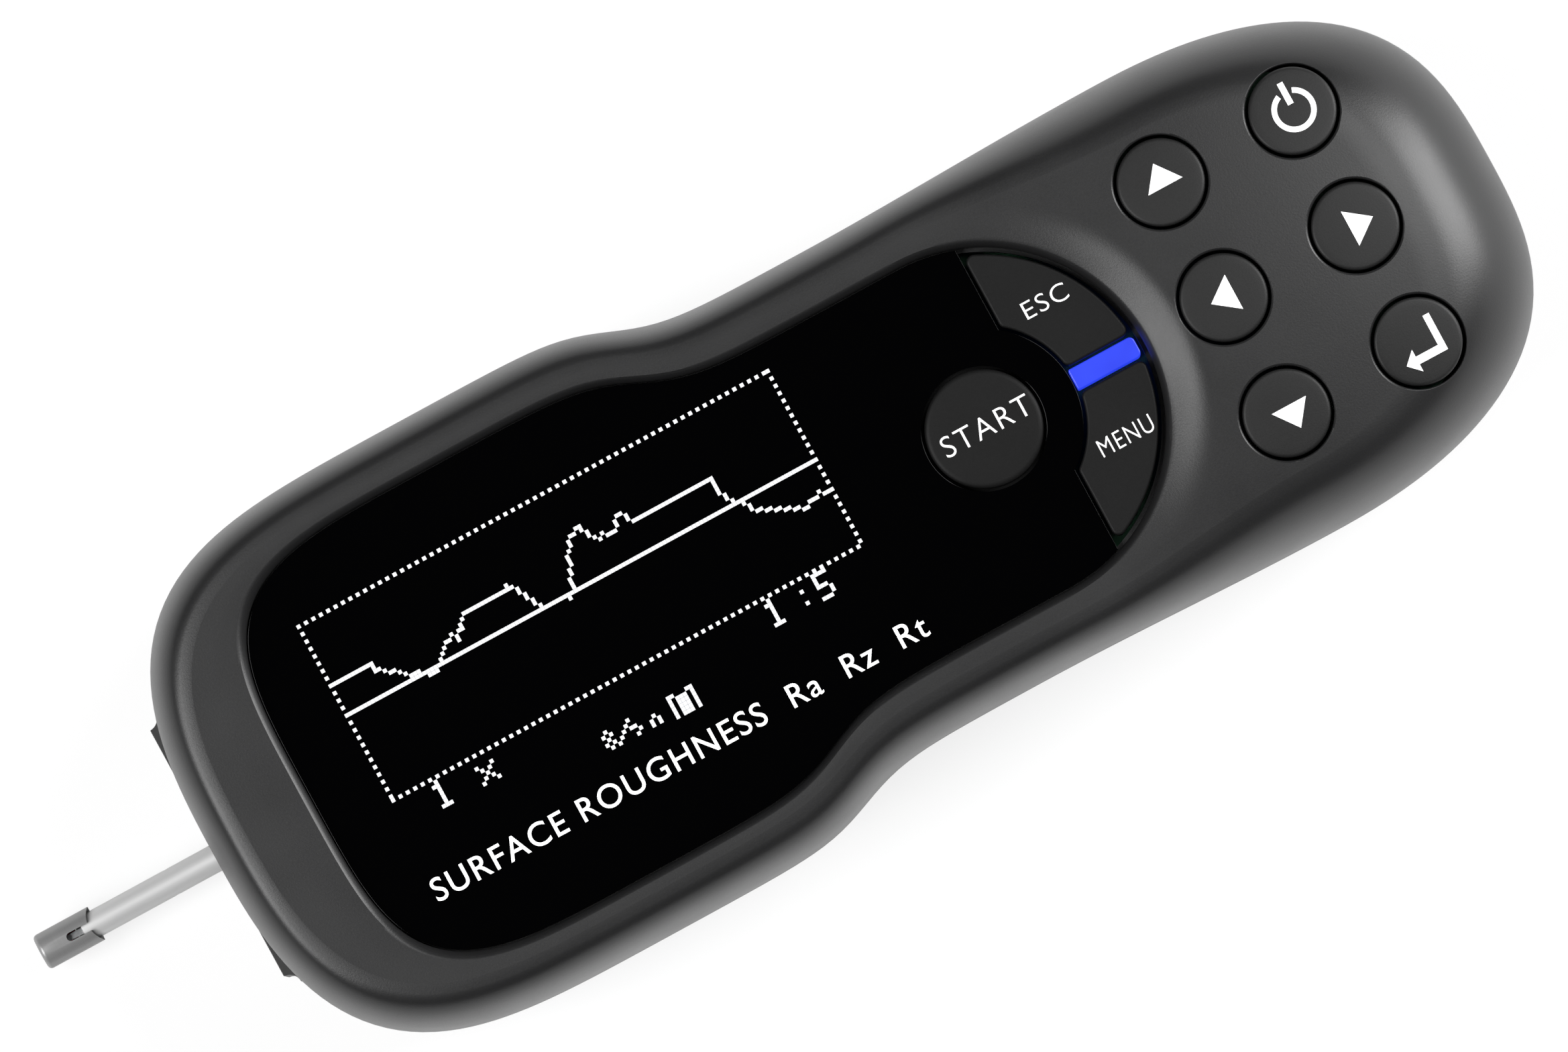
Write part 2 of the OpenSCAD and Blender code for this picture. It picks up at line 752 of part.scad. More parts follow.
// Display: a frame on the board and the glass that stands on it
module display_module() {
    frame_t = 1.2;
    color("#20262c") {
        slab(panel_s, panel_end, panel_w, board_z, board_z + frame_t, 1);
        slab(panel_s + panel_step, panel_end - panel_step, panel_w - 2 * panel_step, board_z, board_z + panel_t, 0.8);
    }
}

module main_board() {
    side_room = 2;
    end_room = 5;
    post_room = 0.4;
    board_in = [head_edge + panel_gap, head_edge, tail_edge - side_room, end_edge - end_room];
    color("#1f5a38") difference() {
        translate([0, 0, board_z - board_t]) linear_extrude(board_t)
            polygon([for (i = [0:loop_steps - 1]) let (p = outline(i, board_in)) [p[0] - body_len / 2, p[1]]]);
        for (p = posts) at(p, board_z - board_t - over)
            cylinder(r = post_r + post_room, h = board_t + 2 * over);
        for (p = board_posts) at(p, board_z - board_t - over)
            cylinder(d = small_d + 2 * screw_gap, h = board_t + 2 * over);
    }
}

// Processor, memory and amplifier packages and a connector on the underside of the main board
module board_chips() {
    z = board_z - board_t;
    color("#17181a") {
        slab(chip_s, chip_s + chip_big, chip_big, z - chip_t, z, chip_edge);
        for (s = amp_s) slab(s, s + amp_l, amp_w, z - chip_t, z, chip_edge);
        block(link_s, link_s + link_l, link_w, z - link_h, z);
    }
}

module board_screws() {
    color("#8d8f92") for (p = board_posts) at(p, board_z - board_t)
        post_screw(small_d, small_head, board_t + small_hold, true);
}

// Keys

module key_switches() {
    base = 4.4;
    button_d = 2.2;
    button_h = 0.4;
    color("#c9c9c4") for (p = concat([[ring_s, 0]], side_switch, pad_keys)) at(p, board_z) {
        translate([-base / 2, -base / 2, 0]) cube([base, base, switch_h - button_h]);
        cylinder(d = button_d, h = switch_h);
    }
}

module indicator_lamp() {
    lamp_w = 2;
    lamp_in = [2, 3];
    s0 = ring_s + ring_in + lamp_in[0];
    s1 = ring_s + ring_r - lamp_in[1];
    color("#e9ecf2") block(s0, s1, lamp_w, board_z, board_z + lamp_h);
}

// Light guide between the side keys: straight sides, rounded outer corners
module light_bar() {
    r = 0.9;
    low = board_z + lamp_h;
    color("#2d46eb") translate([ring_s - body_len / 2, 0, low]) linear_extrude(window_z + ring_proud - low)
        difference() {
            intersection() {
                circle(side_key_r);
                translate([ring_in + key_gap / 2, -bar_w / 2]) square([ring_r, bar_w]);
            }
            for (y = [-1, 1]) translate([side_key_r - r, y * (bar_w / 2 - r)]) difference() {
                translate([0, y > 0 ? 0 : -r - over]) square(r + over);
                circle(r);
            }
        }
}

module start_key() {
    color("#2a2a2b") at([ring_s, 0]) {
        translate([0, 0, ledge_z - cap_root]) cylinder(d = start_d, h = window_t + ring_proud + cap_root);
        translate([0, 0, ledge_z - flange_gap - flange_t]) cylinder(d = start_d + 2 * flange_w, h = flange_t);
        translate([0, 0, key_rest]) cylinder(d = stem_d, h = ledge_z - key_rest);
    }
}

// Points of an arc about a middle
function arc(mid, r, from, to, steps) =
    [for (k = [0:steps]) let (a = mix(from, to, k / steps)) mid + r * [cos(a), sin(a)]];

// Sector of a ring right of one straight edge and above another, all four corners rounded
function sector(inner, outer, cut, low, r) =
    let (
        top = [cut + r, sqrt(pow(outer - r, 2) - pow(cut + r, 2))],
        end = [sqrt(pow(outer - r, 2) - pow(low + r, 2)), low + r],
        foot = [sqrt(pow(inner + r, 2) - pow(low + r, 2)), low + r],
        notch = [cut + r, sqrt(pow(inner + r, 2) - pow(cut + r, 2))],
        turn = [for (p = [top, end, foot, notch]) atan2(p[1], p[0])]
    )
    concat(
        arc([0, 0], outer, turn[1], turn[0], rim_steps),
        arc(top, r, turn[0] + lead_in, 180, corner_steps),
        arc(notch, r, 180, 180 - lead_in + turn[3], corner_steps),
        arc([0, 0], inner, turn[3], turn[2], notch_steps),
        arc(foot, r, 180 + lead_in + turn[2], 270, corner_steps),
        arc(end, r, 270, 360 - lead_in + turn[1], corner_steps)
    );

// One side key: a rounded sector of the ring, its flange under the window and its stem
module side_key(y) {
    corner_r = 0.8;
    low = bar_w / 2 + key_gap;
    inner = ring_in + key_gap;
    cut = ring_cut + key_gap;
    at([ring_s, 0]) mirror([0, y > 0 ? 0 : 1, 0]) {
        translate([0, 0, ledge_z - cap_root]) linear_extrude(window_t + ring_proud + cap_root)
            polygon(sector(inner, side_key_r, cut, low, corner_r));
        translate([0, 0, ledge_z - flange_gap - flange_t]) linear_extrude(flange_t)
            polygon(sector(inner - flange_w, side_key_r, cut - flange_w, low, corner_r));
        translate([side_stem, side_stem, key_rest]) cylinder(d = stem_d, h = ledge_z - key_rest);
    }
}

module esc_key() {
    color("#2a2a2b") side_key(1);
}

module menu_key() {
    color("#2a2a2b") side_key(-1);
}

// Lowest point of the keypad's inside over a flange
function flange_top(p) = let (r = key_d / 2 + flange_w)
    min([for (a = [0:30:330]) keypad_z(p + r * [cos(a), sin(a)])]) - wall - 2 * flange_gap;

// A round key whose crowned top follows the keypad, held by a flange that is cut back at the rolled wall
module round_key(p) {
    crown_r = 70;
    r = key_d / 2;
    dx = (keypad_z(p + [r, 0]) - keypad_z(p - [r, 0])) / key_d;
    dy = (keypad_z(p + [0, r]) - keypad_z(p - [0, r])) / key_d;
    normal = [-dx, -dy, 1] / norm([dx, dy, 1]);
    flange_z = flange_top(p);
    bounds = [for (i = [0:loop_steps - 1]) room(i, flange_z + 3 * flange_gap)];
    color("#2a2a2b") at(p) {
        intersection() {
            translate([0, 0, flange_z - flange_t / 2]) cylinder(d = key_d, h = body_h);
            translate([0, 0, keypad_z(p) + key_proud] - crown_r * normal) sphere(crown_r, $fn = 96);
        }
        intersection() {
            translate([0, 0, flange_z - flange_t]) cylinder(d = key_d + 2 * flange_w, h = flange_t);
            translate([0, 0, key_rest]) linear_extrude(body_h) polygon([for (q = bounds) q - p]);
        }
        translate([0, 0, key_rest]) cylinder(d = stem_d, h = flange_z - key_rest);
    }
}

module up_key() {
    round_key([col_a, pad_dy]);
}

module left_key() {
    round_key([col_a, 0]);
}

module down_key() {
    round_key([col_a, -pad_dy]);
}

module power_key() {
    round_key([col_b, pad_dy]);
}

module right_key() {
    round_key([col_b, 0]);
}

module enter_key() {
    round_key([col_b, -pad_dy]);
}

// Battery and charging

module battery() {
    tab_l = 4;
    tab_in = 3;
    tab_drop = 2;
    end = cell_s + cell_len;
    color("#9aa3a8") {
        slab(cell_s, end - tab_l, cell_w, floor_t, floor_t + cell_t, tab_in);
        slab(end - 2 * tab_l, end, cell_w - 2 * tab_in, floor_t, floor_t + cell_t - tab_drop, 1);
    }
}

module charge_board() {
    color("#1f5a38") difference() {
        slab(charge_s, charge_s + charge_l, charge_w, charge_z, charge_z + charge_t, 1);
        for (p = charge_posts) at(p, charge_z - over)
            cylinder(d = small_d + 2 * screw_gap, h = charge_t + 2 * over);
    }
}

module charge_screws() {
    color("#8d8f92") for (p = charge_posts) at(p, charge_z + charge_t)
        post_screw(small_d, small_head, charge_t + charge_hold, false);
}

// Metal socket with a tongue in its mouth
module charge_socket() {
    shell_t = 0.4;
    back_t = 1;
    tongue = [0.9, 1.2, 1.5];
    z = charge_z + charge_t;
    mid = z + usb_h / 2;
    end = usb_s + usb_l;
    color("#c4c6c8") {
        difference() {
            block(usb_s, end, usb_w, z, z + usb_h);
            block(usb_s + back_t, end + over, usb_w - 2 * shell_t, z + shell_t, z + usb_h - shell_t);
        }
        block(usb_s, end - tongue[1], usb_w - 2 * tongue[2], mid - tongue[0] / 2, mid + tongue[0] / 2);
    }
}

// Drive

module drive_frame() {
    opening = [8, 6, 3];
    color("#8a8d90") difference() {
        union() {
            difference() {
                block(frame_s, motor_s, frame_w, frame_z, frame_top);
                block(chamber_s, rear_s, frame_w - 2 * cheek_t, frame_z - over, frame_top + over);
            }
            for (p = lugs) block(p[0] - lug_l / 2, p[0] + lug_l / 2, lug_w, lug_z, lug_z + lug_t, p[1]);
        }
        shaft(frame_s - over, chamber_s + over, port_d, probe_z);
        block(frame_s - over, chamber_s + over, port_d, 0, probe_z);
        shaft(chamber_s - bearing_seat, chamber_s + over, screw_d + 2 * (bush_t + fit_gap), screw_z);
        shaft(rear_s - over, motor_s + over, coupling_d + 2 * port_gap, screw_z);
        for (y = [-1, 1]) {
            shaft(chamber_s - rod_seat[0], rear_s + rod_seat[1], rod_d + 2 * fit_gap, rod_z, y * rod_dy / 2);
            shaft(
                frame_s - over, frame_s + small_hold + hole_spare, small_d + 2 * screw_gap,
                plate_screw_z, y * plate_screw_y
            );
            block(
                chamber_s + opening[0], rear_s - opening[0], 2 * cheek_t,
                frame_z + opening[1], frame_top - opening[2], y * (frame_w - cheek_t) / 2
            );
        }
        for (p = lugs) at(p, 0) cylinder(d = small_d + 2 * screw_gap, h = frame_top);
    }
}

module frame_screws() {
    color("#8d8f92") for (p = lugs) at(p, lug_z + lug_t)
        post_screw(small_d, small_head, lug_t + small_hold, false);
}

// Gear motor: gearbox, flatted can and end boss
module drive_motor() {
    gearbox = 8;
    boss = 1.5;
    flat = 1.2;
    step = 0.3;
    can_s = motor_s + gearbox;
    end = motor_s + motor_len;
    color("#b4b6b8") difference() {
        union() {
            shaft(motor_s, can_s, motor_d, screw_z);
            intersection() {
                shaft(can_s - step, end - boss, motor_d - 2 * step, screw_z);
                block(can_s - over, end, motor_d - 2 * flat, 0, body_h);
            }
            shaft(end - 2 * boss, end, motor_d / 2.5, screw_z);
        }
        shaft(motor_s - over, motor_s + shaft_in + hole_spare, shaft_d + 2 * run_gap, screw_z);
    }
}

module motor_shaft() {
    color("#c9cbcd") shaft(coupling_mid + fit_gap, motor_s + shaft_in, shaft_d, screw_z);
}

module shaft_coupling() {
    color("#c7a55a") difference() {
        shaft(coupling_s, coupling_s + coupling_len, coupling_d, screw_z);
        shaft(coupling_s - over, coupling_mid, journal_d + 2 * fit_gap, screw_z);
        shaft(coupling_mid - fit_gap, coupling_s + coupling_len + over, shaft_d + 2 * fit_gap, screw_z);
    }
}

module lead_screw() {
    journal_in = 2.6;
    color("#c9cbcd") {
        shaft(chamber_s - journal_in, coupling_mid - fit_gap, journal_d, screw_z);
        shaft(chamber_s + bite, coupling_s - coupling_gap, screw_d, screw_z);
    }
}

module screw_bearing() {
    color("#b98a4a") difference() {
        shaft(chamber_s - bearing_seat, chamber_s + coupling_gap, screw_d + 2 * bush_t, screw_z);
        shaft(chamber_s - bearing_seat - over, chamber_s + over, journal_d + 2 * run_gap, screw_z);
    }
}

module guide_rods() {
    color("#d4d6d8") for (y = [-1, 1])
        shaft(chamber_s - rod_seat[0], rear_s + rod_seat[1], rod_d, rod_z, y * rod_dy / 2);
}

module carriage() {
    bore = rod_d + 2 * (bush_t + fit_gap);
    color("#3a3d40") difference() {
        block(carriage_s, carriage_end, carriage_w, carriage_z, carriage_top);
        shaft(carriage_s - over, carriage_end + over, nut_d + 2 * fit_gap, screw_z);
        shaft(carriage_s - over, carriage_end - socket_tail, socket_d + 2 * fit_gap, probe_z);
        for (y = [-1, 1]) {
            shaft(carriage_s - over, carriage_end + over, bore, rod_z, y * rod_dy / 2);
            block(carriage_s - over, carriage_end + over, carriage_w / 2, screw_z, body_h, y * carriage_w / 2);
        }
    }
}

module carriage_bushes() {
    color("#b98a4a") for (y = [-1, 1]) difference() {
        shaft(carriage_s, carriage_end, rod_d + 2 * bush_t, rod_z, y * rod_dy / 2);
        shaft(carriage_s - over, carriage_end + over, rod_d + 2 * run_gap, rod_z, y * rod_dy / 2);
    }
}

module drive_nut() {
    flange_end = carriage_end + nut_flange_t;
    color("#c7a55a") difference() {
        union() {
            shaft(carriage_s, flange_end, nut_d, screw_z);
            shaft(carriage_end, flange_end, nut_flange, screw_z);
        }
        shaft(carriage_s - over, flange_end + over, screw_d + 2 * run_gap, screw_z);
    }
}

// Pickup

module probe_socket() {
    color("#4a4d50") difference() {
        shaft(carriage_s - socket_out, carriage_end - socket_tail, socket_d, probe_z);
        shaft(carriage_s - socket_out - over, carriage_end - plug_tail, plug_d + 2 * fit_gap, probe_z);
    }
}

// Plug at the rear of the tube, with two contact grooves
module probe_plug() {
    groove_w = 0.6;
    groove_deep = 0.3;
    groove_front = 4;
    groove_step = 1.6;
    color("#2b2d2f") difference() {
        shaft(plug_s, carriage_end - plug_tail, plug_d, probe_z);
        shaft(plug_s - over, plug_s + tube_in, tube_d + 2 * fit_gap, probe_z);
        for (s = [plug_s + groove_front, plug_s + groove_front + groove_step]) difference() {
            shaft(s, s + groove_w, plug_d + over, probe_z);
            shaft(s - over, s + 2 * over, plug_d - 2 * groove_deep, probe_z);
        }
    }
}

module probe_tube() {
    color("#d0d1d2") difference() {
        shaft(tube_s, plug_s + tube_in, tube_d, probe_z);
        shaft(tube_s - over, plug_s + tube_in + over, tube_bore, probe_z);
        cross_pin(pin_d + 2 * fit_gap, 2 * tube_d);
    }
}

// Nose sleeve: rounded front, hollowed rear edge, slot behind it and the opening for the stylus below
module probe_nose() {
    r = nose_d / 2;
    front_t = 0.65;
    hollow = 0.85;
    hollow_r = (r * r + hollow * hollow) / (2 * hollow);
    gash_w = 0.95;
    gash_run = 3.1;
    gash_deep = 0.4;
    gash_s = sleeve_end - gash_run;
    gash_z = probe_z + tube_d / 2 - gash_deep;
    mouth = 0.9;
    skid_gap = 0.05;
    color("#8b8d8f") difference() {
        translate([nose_s - body_len / 2, 0, probe_z]) rotate([0, 90, 0]) rotate_extrude()
            polygon(concat(
                [[0, nose_len], [0, 0]],
                arc([r - nose_round, nose_round], nose_round, -90, 0, 4),
                [[r, nose_len]]
            ));
        shaft(nose_s + front_t, sleeve_end + over, tube_d + 2 * fit_gap, probe_z);
        at([sleeve_end - hollow + hollow_r, 0], probe_z + hollow / 2) cylinder(r = hollow_r, h = nose_d);
        at([gash_s, 0], gash_z) cylinder(d = gash_w, h = nose_d);
        block(gash_s, sleeve_end + over, gash_w, gash_z, probe_z + nose_d);
        block(tip_s - mouth, tip_s + mouth, shank_d + bite, 0, probe_z);
        block(skid_s - skid_r - skid_gap, skid_s + skid_r + skid_gap, skid_l + 2 * skid_gap, 0, probe_z);
    }
}

// Rounded skid set into the underside of the nose, sliding on the surface beside the stylus
module probe_skid() {
    seat_gap = 0.1;
    seat = probe_z - tube_d / 2 - seat_gap;
    mid = skid_z + skid_r;
    color("#8d1f33") {
        at([skid_s, skid_l / 2], mid) rotate([90, 0, 0]) cylinder(r = skid_r, h = skid_l);
        block(skid_s - skid_r, skid_s + skid_r, skid_l, mid, seat);
    }
}

module cross_pin(d, length) {
    at([pivot_s, 0], probe_z) rotate([90, 0, 0]) cylinder(d = d, h = length, center = true);
}

module pivot_pin() {
    color("#c9cbcd") cross_pin(pin_d, tube_d - 0.1);
}

// Lever with its pivot eye and the core of the coil at its rear end
module stylus_arm() {
    eye_wall = 0.35;
    tail_len = 9;
    core_len = 3;
    core_d = 1.1;
    head = 0.5;
    color("#a9abad") difference() {
        union() {
            block(tip_s - head, pivot_s + tail_len, arm_t, probe_z - arm_t / 2, probe_z + arm_t / 2);
            cross_pin(pin_d + 2 * eye_wall, arm_t);
            shaft(pivot_s + tail_len - core_len, pivot_s + tail_len, core_d, probe_z);
        }
        cross_pin(pin_d + 2 * run_gap, tube_d);
    }
}

module stylus_tip() {
    cone_h = 0.7;
    point_d = 0.1;
    color("#e6e8ea") at([tip_s, 0], tip_z) {
        cylinder(d1 = point_d, d2 = shank_d, h = cone_h);
        translate([0, 0, cone_h]) cylinder(d = shank_d, h = probe_z - arm_t / 2 - tip_z - cone_h);
    }
}

upper_shell();
lower_shell();
front_plate();
plate_screws();
case_screws();
display_window();
display_module();
main_board();
board_chips();
board_screws();
key_switches();
light_bar();
indicator_lamp();
start_key();
esc_key();
menu_key();
up_key();
left_key();
down_key();
power_key();
right_key();
enter_key();
battery();
charge_board();
charge_screws();
charge_socket();
drive_frame();
frame_screws();
drive_motor();
motor_shaft();
shaft_coupling();
lead_screw();
screw_bearing();
guide_rods();
carriage();
carriage_bushes();
drive_nut();
probe_socket();
probe_plug();
probe_tube();
probe_nose();
probe_skid();
pivot_pin();
stylus_arm();
stylus_tip();
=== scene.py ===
"""Looks of the hand-held surface roughness tester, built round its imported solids."""

import logging
import math
from dataclasses import dataclass
from enum import Enum
from typing import Any, Callable, Iterable, Sequence, Union

import bpy
import numpy as np
from mathutils import Matrix, Vector


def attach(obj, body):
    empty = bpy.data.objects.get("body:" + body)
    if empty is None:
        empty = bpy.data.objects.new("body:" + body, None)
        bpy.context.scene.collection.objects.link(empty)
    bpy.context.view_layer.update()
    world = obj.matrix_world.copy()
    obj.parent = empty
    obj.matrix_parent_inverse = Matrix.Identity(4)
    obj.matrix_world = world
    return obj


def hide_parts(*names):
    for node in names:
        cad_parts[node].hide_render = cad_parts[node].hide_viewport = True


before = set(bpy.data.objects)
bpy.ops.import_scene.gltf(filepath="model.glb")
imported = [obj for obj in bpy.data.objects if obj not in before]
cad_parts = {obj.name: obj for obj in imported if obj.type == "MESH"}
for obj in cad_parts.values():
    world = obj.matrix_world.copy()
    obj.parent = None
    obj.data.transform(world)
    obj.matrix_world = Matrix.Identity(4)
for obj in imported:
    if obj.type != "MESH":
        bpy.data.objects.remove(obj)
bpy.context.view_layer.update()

MM = 0.001
HOUSING = "housing"
PICKUP = "pickup"
LOG = logging.getLogger("tester")
Colour = tuple[float, float, float]
Spot = tuple[float, float]
Level = Callable[[np.ndarray], np.ndarray]
Piece = bpy.types.Object
Owner = Union[bpy.types.Material, bpy.types.World]


class KeySign(Enum):
    """Sign printed on a round key, in the order of the key places."""

    UP = "up"
    LEFT = "left"
    DOWN = "down"
    POWER = "power"
    RIGHT = "right"
    ENTER = "enter"


class Grain(Enum):
    """How the fine structure of a finish is stretched along the axes."""

    SPECKLED = (1, 1, 1)
    TURNED = (1, 0.02, 0.02)
    DRAWN = (0.03, 1, 1)
    WOVEN = (1, 0.35, 1)


class Wire:
    """A shader socket that works in Python expressions on values."""

    def __init__(self, net: "Net", socket: bpy.types.NodeSocket) -> None:
        """Keeps the socket and the net that it belongs to."""
        self.net = net
        self.socket = socket

    def _math(self, operation: str, first: Any, second: Any) -> "Wire":
        """Adds one Math node."""
        return self.net.add("ShaderNodeMath", {"operation": operation}, {0: first, 1: second})

    def __add__(self, other: Any) -> "Wire":
        """Sum."""
        return self._math("ADD", self, other)

    def __radd__(self, other: Any) -> "Wire":
        """Sum with the number first."""
        return self._math("ADD", other, self)

    def __sub__(self, other: Any) -> "Wire":
        """Difference."""
        return self._math("SUBTRACT", self, other)

    def __rsub__(self, other: Any) -> "Wire":
        """Difference with the number first."""
        return self._math("SUBTRACT", other, self)

    def __mul__(self, other: Any) -> "Wire":
        """Product."""
        return self._math("MULTIPLY", self, other)

    def __rmul__(self, other: Any) -> "Wire":
        """Product with the number first."""
        return self._math("MULTIPLY", other, self)


class Net:
    """The node tree of one material or of the sky."""

    # Sockets of a Mix node that mixes colours.
    mix_share: int = 0
    mix_low: int = 6
    mix_high: int = 7
    mix_out: int = 2

    def __init__(self, owner: Owner) -> None:
        """Starts an empty node tree.

        Args:
            owner: The material or world that gets the tree.
        """
        self.owner = owner
        owner.use_nodes = True
        self.tree = owner.node_tree
        self.tree.nodes.clear()

    @classmethod
    def named(cls, name: str) -> "Net":
        """Starts the tree of a new material."""
        return cls(bpy.data.materials.new(name))

    def add(
        self, kind: str, settings: dict[str, Any], inputs: dict[Any, Any], out: Any = 0
    ) -> Wire:
        """Adds a node, sets it up and fills its sockets.

        Args:
            kind: Blender's name of the node type.
            settings: Values of the node itself, set first.
            inputs: Values or wires by socket name or number.
            out: Name or number of the output that is wanted.

        Returns:
            The output as a wire.
        """
        node = self.tree.nodes.new(kind)
        for key, value in settings.items():
            setattr(node, key, value)
        for key, value in inputs.items():
            if isinstance(value, Wire):
                self.tree.links.new(value.socket, node.inputs[key])
            else:
                node.inputs[key].default_value = value
        return Wire(self, node.outputs[out])

    def place(self, stretch: tuple[float, float, float] = (1, 1, 1)) -> Wire:
        """Object coordinates, stretched along the axes."""
        spot = self.add("ShaderNodeTexCoord", {}, {}, "Object")
        return self.add("ShaderNodeMapping", {}, {"Vector": spot, "Scale": stretch})

    def noise(self, place: Wire, size: float, detail: float = 2.0) -> Wire:
        """Noise near one half, with features of one size in millimetres."""
        inputs = {"Vector": place, "Scale": 1 / (size * MM), "Detail": detail}
        return self.add("ShaderNodeTexNoise", {}, inputs)

    def blend(self, share: Wire, low: Colour, high: Colour) -> Wire:
        """Mixes two colours by a value."""
        inputs = {self.mix_share: share, self.mix_low: (*low, 1), self.mix_high: (*high, 1)}
        return self.add("ShaderNodeMix", {"data_type": "RGBA"}, inputs, self.mix_out)

    def close(self, surface: Wire) -> Owner:
        """Joins the surface to the output.

        Args:
            surface: The shader.

        Returns:
            The material or world that owns the tree.
        """
        world = isinstance(self.owner, bpy.types.World)
        node = self.tree.nodes.new("ShaderNodeOutputWorld" if world else "ShaderNodeOutputMaterial")
        self.tree.links.new(surface.socket, node.inputs["Surface"])
        return self.owner


@dataclass(frozen=True)
class Finish:
    """A solid finish with fine structure in its colour, gloss and relief, in millimetres."""

    name: str
    colour: Colour
    rough: float = 0.5
    metal: float = 0.0
    grain: Grain = Grain.SPECKLED
    size: float = 0.12
    relief: float = 0.004
    fleck: float = 0.25
    sway: float = 0.08
    coat: float = 0.0
    coat_rough: float = 0.1
    specular: float = 0.5
    patch: float = 9.0
    contrast: float = 0.6
    octaves: float = 3.0

    def material(self) -> bpy.types.Material:
        """Builds the material.

        Returns:
            A node material on Object coordinates.
        """
        net = Net.named(self.name)
        fine = net.noise(net.place(self.grain.value), self.size, self.octaves)
        broad = net.noise(net.place(), self.patch)
        share = (fine - 0.5) * (2.0 * self.fleck) + (broad - 0.5) * self.fleck + 0.5
        swing = self.contrast * self.fleck
        dark = tuple(c * (1 - swing) for c in self.colour)
        light = tuple(min(1.0, c * (1 + swing)) for c in self.colour)
        rough = self.rough + (fine - 0.5) * self.sway + (broad - 0.5) * self.sway
        height = {"Strength": 1.0, "Distance": self.relief * MM, "Height": fine}
        surface = {
            "Base Color": net.blend(share, dark, light),
            "Metallic": self.metal,
            "Roughness": rough,
            "Specular IOR Level": self.specular,
            "Coat Weight": self.coat,
            "Coat Roughness": self.coat_rough,
            "Normal": net.add("ShaderNodeBump", {}, height),
        }
        return net.close(net.add("ShaderNodeBsdfPrincipled", {}, surface))


@dataclass(frozen=True)
class Glow:
    """A finish that gives light."""

    name: str
    colour: Colour
    edge: Colour
    size: float
    strength: float = 1.0
    rough: float = 0.3
    body: float = 0.1
    octaves: float = 1.0

    def material(self) -> bpy.types.Material:
        """Builds the material, a little uneven as a real lamp behind it is.

        Returns:
            A node material on Object coordinates.
        """
        net = Net.named(self.name)
        uneven = net.noise(net.place(), self.size, self.octaves)
        surface = {
            "Base Color": (*(self.body * c for c in self.colour), 1),
            "Roughness": self.rough,
            "Emission Color": net.blend(uneven, self.edge, self.colour),
            "Emission Strength": self.strength,
        }
        return net.close(net.add("ShaderNodeBsdfPrincipled", {}, surface))


def grey(shade: float) -> Colour:
    """A colour without a tint."""
    return (shade, shade, shade)


Look = Union[Finish, Glow]

# What finishes of one kind share.
MOULDED = {"size": 0.2, "relief": 0.010, "fleck": 0.35, "specular": 0.36}
PRESSED = {"size": 0.18, "relief": 0.010, "fleck": 0.5}
GLOSSY = {"size": 4.0, "relief": 0.0002, "sway": 0.02, "specular": 0.2}
LATHED = {"metal": 1.0, "grain": Grain.TURNED}
RULED = {"metal": 1.0, "grain": Grain.DRAWN}

SHELL = Finish("soft_shell", (0.0115, 0.0115, 0.0118), rough=0.39, **MOULDED)
BASE = Finish("base_shell", (0.0105, 0.0105, 0.0108), rough=0.42, **MOULDED)
PLATE = Finish("black_plate", grey(0.012), size=0.08, relief=0.002)
GLASS = Finish("window_black", (0.0003, 0.0003, 0.0004), rough=0.05, **GLOSSY)
CAP = Finish("key_cap", grey(0.01), specular=0.23, **PRESSED)
RING_CAP = Finish("ring_key", grey(0.0055), specular=0.12, **PRESSED)
PRINT = Finish("white_print", grey(0.96), rough=0.6, size=0.1, relief=0.001, fleck=0.03)
PIXEL = Glow("lit_pixel", grey(1.0), (0.93, 0.95, 1.0), 2.0)
LAMP = Glow("blue_lamp", (0.03, 0.068, 0.93), (0.018, 0.04, 0.70), 3.5)
TUBE = Finish("satin_tube", grey(0.62), metal=0.3, grain=Grain.DRAWN, relief=0.003, fleck=0.12)
SLEEVE = Finish(
    "steel_sleeve", grey(0.27), rough=0.42, metal=0.4, grain=Grain.TURNED, size=0.1, relief=0.003
)
STEEL = Finish("ground_steel", (0.52, 0.53, 0.54), rough=0.25, size=0.06, relief=0.001, **LATHED)
ZINC = Finish("zinc_screw", (0.42, 0.43, 0.44), rough=0.35, metal=1.0, size=0.2, relief=0.002)
BRASS = Finish("turned_brass", (0.57, 0.38, 0.11), rough=0.3, size=0.08, relief=0.002, **LATHED)
BRONZE = Finish("sintered_bronze", (0.42, 0.23, 0.08), metal=1.0)
CAST = Finish("milled_frame", (0.36, 0.37, 0.38), rough=0.42, size=0.2, relief=0.003, **RULED)
RESIST = Finish("board_green", (0.012, 0.10, 0.04), rough=0.35, grain=Grain.WOVEN, size=0.4)
CHIP = Finish("chip_black", grey(0.012), rough=0.6, size=0.08, relief=0.003)
SWITCH = Finish("switch_cream", (0.55, 0.55, 0.50), size=0.2, relief=0.002)
FOIL = Finish("cell_wrap", (0.30, 0.34, 0.37), rough=0.35, size=1.5, relief=0.02)
PANEL = Finish("display_frame", (0.02, 0.026, 0.032), rough=0.2, size=0.3, relief=0.001)
MOULD = Finish("carriage_mould", (0.04, 0.042, 0.045), rough=0.55, size=0.15)
RUBY = Finish("ruby_skid", (0.30, 0.012, 0.03), rough=0.08, size=0.5, relief=0.0005, coat=1.0)
SHEET = Finish("plated_sheet", (0.55, 0.56, 0.57), rough=0.3, size=0.1, relief=0.001, **RULED)
MATERIALS: dict[str, bpy.types.Material] = {}


